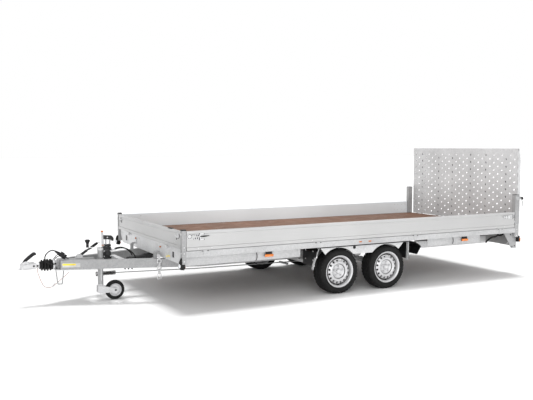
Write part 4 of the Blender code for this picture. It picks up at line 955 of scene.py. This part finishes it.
def make_chain():
    """Short safety chain with an end loop that hangs beside the near drawbar beam."""
    x, y, top, pitch = 18, 477, 502, 38
    work = Shape()
    for k in range(5):
        z = top - pitch * (k + 0.5)
        points = []
        for i in range(25):
            a = math.tau * i / 24
            across, up = 20.5 * math.cos(a), 26 * math.sin(a)
            offset = (across, 0) if k % 2 else (0, across)
            points.append(at(x + offset[0], y + offset[1], z + up))
        work.tube(points, 6.8, 10)
    work.show("safety_chain", ZINC)
    work = Shape()
    low = top - 5 * pitch - 62
    loop = [at(x + u, y, low + w) for u, w in ((-12, 62), (12, 62), (20, 52), (20, 8), (12, 0), (-12, 0), (-20, 8),
        (-20, 52), (-12, 62))]
    work.tube(loop, 4.8, 12)
    work.turned([(17, 0), (18, 2), (18, 12), (15, 15), (0, 16)], at(x, 444, top - 6), Y, 28)
    work.show("chain_ends", SILVER)


# Front board, front beam, ramp and rear details
def make_front_details():
    work = Shape()
    for y in (-990, 990):
        work.turned([(22, 0), (24, 2), (23, 9), (16, 12)], at(-5.2, y, 772), X, 32)
        inward = -1 if y > 0 else 1
        work.block(at(3, y + inward * 45, 762), (5, 75, 12), 2, Matrix.Rotation(inward * 0.25, 4, "X"))
        for z in (700, 780):
            work.turned([(5, 0), (4, 3), (0, 3.5)], at(-6.2, y + inward * 110, z), X, 12)
    work.show("front_fasteners", SILVER, "front_board")
    work = Shape()
    for y in (-990, 990):
        work.turned([(30, 0), (31, 1), (29, 3)], at(-6.2, y, 772), X, 32)
        inward = -1 if y > 0 else 1
        work.block(at(-4.5, y + inward * 40, 745), (4, 52, 14), 2, Matrix.Rotation(inward * -0.7, 4, "X"))
    work.show("front_fastener_rims", DRUM, "front_board")
    work = Shape()
    for y in (-650, 650):
        work.block(at(-18.5, y, 620), (4, 130, 26), 0.8)
        for shift in (-45, 45):
            work.bolt(at(-16.5, y + shift, 618), X, 5.2, 3)
    for y in (-420, 420):
        work.block(at(-17.5, y, 552), (7, 36, 60), 3)
    for y in (-970, -300, 300, 970):
        work.bolt(at(-20.8, y, 600), X)
    work.show("front_beam_fittings", ZINC, "bed")
    work = Shape()
    # Thin black plates where the beam has slots: painted shade of the beam's hollow inside.
    for y in (-800, 800):
        work.block(at(-20.6, y, 553), (1.2, 42, 62))
    for y in (-650, 650):
        work.block(at(-14, y, 634), (6, 24, 8), 1)
    work.show("front_beam_slots", PAINT, "bed")
    work = Shape()
    for y in (-420, 420):
        work.turned([(8, 0), (8, 12), (5, 16), (0, 17)], at(-14.5, y, 583), Z, 20)
    work.show("catch_caps", BRASS, "bed")
    Shape().block(at(-12, 755, 827.5), (30, 105, 6), 2).show("board_top_cap", BLACK, "front_board")


def make_side_cables():
    work = Shape()
    for x, low in ((-865, 455), (-3605, 470)):
        work.wire([(x, 1046.5, 556), (x - 6, 1047, 530), (x - 8, 1047.5, 500), (x - 2, 1046, 475),
            (x + 8, 1030, low)], 3.5, 10)
    for points in ([(-4440, 985, 548), (-4420, 985, 520), (-4385, 980, 505), (-4335, 970, 495), (-4290, 950, 462),
            (-4275, 930, 430)], [(-4440, 985, 520), (-4480, 985, 518), (-4520, 985, 530), (-4560, 980, 540),
            (-4600, 960, 520), (-4618, 940, 480)]):
        work.wire(points, 11, 16)
    work.show("light_cables", RUBBER, "bed")


RAMP_FRONT, RAMP_LOW, RAMP_TOP, RAMP_HALF = -4700, 650, 1645, 1043
RAMP_THICK, RAMP_DEEP, RIB = 5, 50, 30
RAMP_BACK, RAMP_MIDDLE = RAMP_FRONT - RAMP_THICK, RAMP_FRONT - RAMP_THICK / 2
HOLE_ROWS, HOLE_COLUMNS, PITCH_Y, PITCH_Z = 18, 14, 146, 50
RIB_PLACES = [share * RAMP_HALF for share in (-0.796, -0.455, -0.177, 0.177, 0.455, 0.796)]


def hole_outline(y, z, blind):
    """Eight points of a leaning oval hole, from the side where y is largest."""
    wide, tall, lean = (9, 16, 0.30) if blind else (15.5, 10.5, 0.32)
    points = []
    for k in range(8):
        a = math.pi * k / 4
        u, w = wide * math.cos(a), tall * math.sin(a)
        points.append((y + u * math.cos(lean) - w * math.sin(lean), z + u * math.sin(lean) + w * math.cos(lean)))
    return points


def punched_cell(work, y, z, blind):
    """One cell of the sheet: a front face round the hole, the hole's walls, and the same face behind."""
    hole = hole_outline(y, z, blind)
    corners = ((1, 0), (1, 1), (0, 1), (-1, 1), (-1, 0), (-1, -1), (0, -1), (1, -1))
    rim = [(y + u * PITCH_Y / 2, z + w * PITCH_Z / 2) for u, w in corners]
    rim = [(max(-RAMP_HALF, min(RAMP_HALF, u)), w) for u, w in rim]
    faces = ((RAMP_FRONT, rim), (RAMP_FRONT, hole), (RAMP_BACK, hole), (RAMP_BACK, rim))
    work.skin([[at(x, *p) for p in points] for x, points in faces], False)


def make_ramp_sheet():
    """Punched ramp sheet with its ribs; the holes in front of a rib are blind, closed by dark plates of painted
    shade.
    """
    work, dark = Shape(), Shape()
    first = RAMP_LOW + 30
    for row in range(HOLE_ROWS):
        z = first + PITCH_Z * (row + 0.5)
        shift = -0.25 if row % 2 else 0.25
        for column in range(HOLE_COLUMNS):
            y = PITCH_Y * (column - (HOLE_COLUMNS - 1) / 2 + shift)
            blind = min(abs(y - place) for place in RIB_PLACES) < 25.5
            punched_cell(work, y, z, blind)
            if blind:
                # Dark plate that closes a blind hole: painted shade on the rib behind it.
                hole = [at(RAMP_BACK + 1.2, *p) for p in hole_outline(y, z, True)]
                dark.mesh.faces.new([dark.mesh.verts.new(p) for p in hole])
        edge = PITCH_Y * (HOLE_COLUMNS / 2 + shift)
        for low_y, high_y in ((edge, RAMP_HALF), (-RAMP_HALF, edge - PITCH_Y * HOLE_COLUMNS)):
            if high_y <= low_y:
                continue
            work.block(at(RAMP_MIDDLE, (low_y + high_y) / 2, z), (RAMP_THICK, high_y - low_y, PITCH_Z))
    last = first + PITCH_Z * HOLE_ROWS
    for low, high in ((RAMP_LOW, first), (last, RAMP_TOP)):
        work.block(at(RAMP_MIDDLE, 0, (low + high) / 2), (RAMP_THICK, 2 * RAMP_HALF, high - low))
    work.show("ramp_sheet", RAMP_LIT_ZINC, "ramp", smooth=20, node="ramp")
    show("ramp_blind_hole_shade", dark.made(closed=False), PAINT, "ramp", "galvanised")
    work = Shape()
    back = RAMP_FRONT - RAMP_DEEP
    rib = [(RAMP_BACK, RAMP_LOW), (RAMP_BACK, RAMP_TOP), (RAMP_FRONT - 12, RAMP_TOP), (back + 6, RAMP_TOP - 110),
        (back, RAMP_TOP - 140), (back, RAMP_LOW + 20), (back + 20, RAMP_LOW)]
    for y in RIB_PLACES + [RAMP_HALF - RIB / 2, RIB / 2 - RAMP_HALF]:
        work.plate(rib, y - RIB / 2, y + RIB / 2)
    for x_deep, low, high in ((20, RAMP_TOP - 30, RAMP_TOP), (40, RAMP_LOW, RAMP_LOW + 30)):
        work.block(at(RAMP_FRONT - (RAMP_THICK + x_deep) / 2, 0, (low + high) / 2),
            (x_deep - RAMP_THICK, 2 * RAMP_HALF, high - low), 1)
    for share in (-0.86, -0.43, 0.43, 0.86):
        for way in (1, -1):
            y = share * RAMP_HALF + way * 51.5
            work.rod(at(RAMP_FRONT, y - 20, 620), at(RAMP_FRONT, y + 20, 620), 14, 24)
            work.block(at(RAMP_FRONT - 7, y, 640), (10, 40, 40), 1)
    work.show("ramp_ribs", RAMP_LIT_ZINC, "ramp", smooth=30, node="ramp")
    work = Shape()
    for y in RIB_PLACES + [-970, 970]:
        for z in (675, 1625):
            work.turned(RIVET, at(RAMP_FRONT, y, z), X, 12)
    work.show("ramp_rivets", ZINC, "ramp")


def make_ramp_locks(name, side):
    """Spring bolts on the rear posts that hold the ramp upright, with their release levers."""
    work = Shape(side).block(at(-4652, 1103, 1004), (60, 6, 44), 1)
    work.block(at(-4690, 1092.5, 1012), (22, 30, 26), 3)
    work.rod(at(-4664, 1048, 1012), at(-4664, 1055, 1012), 7, 16)
    work.turned([(9, 0), (9, 20)], at(-4690, 1100, 1000), (0, 1, -0.3), 16)
    work.wire([(-4694, 1114, 994), (-4708, 1121, 972), (-4717, 1122, 945), (-4716, 1120, 915), (-4710, 1118, 888)],
        5.2, 14)
    work.show("ramp_lock_" + name, BODY_SHADED_ZINC, "bed")
    work = Shape(side)
    work.turned([(10, 0), (18, 7), (20.5, 16), (16, 26), (0, 31)], at(-4706, 1102, 1000), (-0.5, 1, 0.2), 28)
    work.show("ramp_knob_" + name, BLACK, "bed", smooth=60)


def make_rear_details(name, side):
    work = Shape(side)
    # Thin dark discs where the holes are: painted shade of the hollow behind them.
    for x, z in ((-4575, 530), (-4650, 380), (-4608, 372)):
        work.turned([(9, 0), (9, 1.2)], at(x, 1062.2, z), Y, 20)
    work.show("foot_hole_shade_" + name, PAINT, "bed")
    work = Shape(side).block(at(-4686, 1085, 472), (34, 36, 78), 5)
    work.block(at(-4664, 1074, 498), (26, 20, 22), 3).show("outline_lamp_" + name, BLACK, "bed")
    Shape(side).block(at(-4709.5, 1086, 460), (14, 36, 54), 5).show("outline_lens_" + name, ORANGE, "bed", smooth=60)
    work = Shape(side)
    for y in (620, 380, 120):
        work.bolt(at(-4662.5, y, 500), (-1, 0, 0))
    work.block(at(-4664, 890, 498), (4, 240, 16), 1).show("rear_beam_bolts_" + name, ZINC, "bed")


def make_brake_parts():
    work = Shape()
    for k in range(26):
        x = 360 + k * 7.8
        work.turned([(22, 0), (23.8, 1.6), (23.8, 3.4), (22, 5)], at(x, 0, 276), X, 24, False)
    work.turned([(22, 0), (26, 0), (26, 8), (22, 8)], at(568, 0, 276), X, 24, False).show("brake_spring", DRUM)
    work = Shape()
    work.wire([(1022, 55, 372), (1005, 55, 225), (995, 55, 212), (968, 55, 210), (956, 55, 222), (938, 55, 372)],
        6.4, 14)
    work.show("drawbar_loop", FRAME_SHADED_ZINC)
    work = Shape()
    for y, high in ((30, 505), (-12, 515)):
        work.wire([(1038, y, 462), (1025, y, 480), (990, y, high), (940, y, high), (905, y, 488), (880, y, 470)],
            4.2, 12)
    work.show("housing_cables", RUBBER)
    work = Shape()
    for side in (1, -1):
        work.block(at(-2275, side * 900, 450), (78, 22, 100), 4)
        work.bolt(at(-2275, side * 911, 440), (0, side, 0), 9, 6)
    work.show("axle_brackets", FRAME_SHADED_ZINC)
    work = Shape()
    for x in (345, 310, 275):
        y = outer_face(x) - 20
        work.block(at(x, y, 362), (14, 14, 16), 3)
    work.show("beam_clips", BLACK)


make_cords()
make_chain()
make_front_details()
make_side_cables()
make_ramp_sheet()
both_sides(make_ramp_locks)
both_sides(make_rear_details)
make_brake_parts()


# Stage, light and camera
WORLD_LEVEL = 0.66
FLOOR_LIFT = 0.80


def make_stage():
    """White floor: it keeps the shadow, and is white to the camera where no shadow falls."""
    ground = Shape()
    bmesh.ops.create_grid(ground.mesh, x_segments=1, y_segments=1, size=90 / MM)
    floor = bpy.data.objects.new("stage_floor", ground.made())
    bpy.context.scene.collection.objects.link(floor)
    material, tree, shader = new_material("stage_white", (0.93, 0.93, 0.93), 0.9, specular=0.05)
    path = tree.nodes.new("ShaderNodeLightPath")
    lift = tree.nodes.new("ShaderNodeMapRange")
    lift.inputs["To Min"].default_value = 0.9
    lift.inputs["To Max"].default_value = FLOOR_LIFT
    tree.links.new(path.outputs["Is Camera Ray"], lift.inputs["Value"])
    tree.links.new(lift.outputs["Result"], shader.inputs["Base Color"])
    floor.data.materials.append(material)


def background_light():
    """Plain white to the camera and to transmission rays, a softer grey as light."""
    world = bpy.data.worlds.new("studio")
    bpy.context.scene.world = world
    world.use_nodes = True
    tree = world.node_tree
    background = tree.nodes["Background"]
    path = tree.nodes.new("ShaderNodeLightPath")
    add = tree.nodes.new("ShaderNodeMath")
    add.operation = "MAXIMUM"
    tree.links.new(path.outputs["Is Camera Ray"], add.inputs[0])
    tree.links.new(path.outputs["Is Transmission Ray"], add.inputs[1])
    level = tree.nodes.new("ShaderNodeMapRange")
    level.inputs["To Min"].default_value = WORLD_LEVEL
    level.inputs["To Max"].default_value = 1.0
    tree.links.new(add.outputs["Value"], level.inputs["Value"])
    background.inputs["Color"].default_value = (1, 1, 1, 1)
    tree.links.new(level.outputs["Result"], background.inputs["Strength"])


def sun_light(name, direction, strength, softness):
    lamp = bpy.data.lights.new(name, "SUN")
    lamp.energy = strength
    lamp.angle = math.radians(softness)
    item = bpy.data.objects.new(name, lamp)
    item.location = -Vector(direction) * 10
    item.rotation_euler = Vector(direction).to_track_quat("-Z", "Y").to_euler()
    bpy.context.scene.collection.objects.link(item)


def low_fill(name, place, target, width, height, power):
    """Wide low panel that lights the underframe from the side."""
    lamp = bpy.data.lights.new(name, "AREA")
    lamp.shape = "RECTANGLE"
    lamp.size = width
    lamp.size_y = height
    lamp.energy = power
    item = bpy.data.objects.new(name, lamp)
    item.location = place * MM
    item.rotation_euler = (target - place).to_track_quat("-Z", "Y").to_euler()
    item.visible_camera = False
    bpy.context.scene.collection.objects.link(item)


def make_camera():
    camera = bpy.data.cameras.new("camera")
    camera.lens = 49.41
    camera.sensor_width = 36.0
    camera.clip_end = 200
    item = bpy.data.objects.new("camera", camera)
    item.location = at(2684, 7896, 1673) * MM
    item.rotation_euler = Vector((-0.471, -0.879, -0.073)).to_track_quat("-Z", "Y").to_euler()
    bpy.context.scene.collection.objects.link(item)
    bpy.context.scene.camera = item


make_stage()
background_light()
sun_light("key", (-0.5, -0.8, -0.42), 0.9, 40)
sun_light("top", (0.10, 0.20, -1.0), 2.6, 18)
low_fill("side_fill", at(-2000, 9000, 900), at(-2300, 0, 450), 9.0, 1.4, 160)
low_fill("bed_fill", at(-1600, 700, 2400), at(-4300, -800, 700), 2.6, 0.6, 40)
make_camera()
bpy.context.scene.view_settings.view_transform = "Standard"
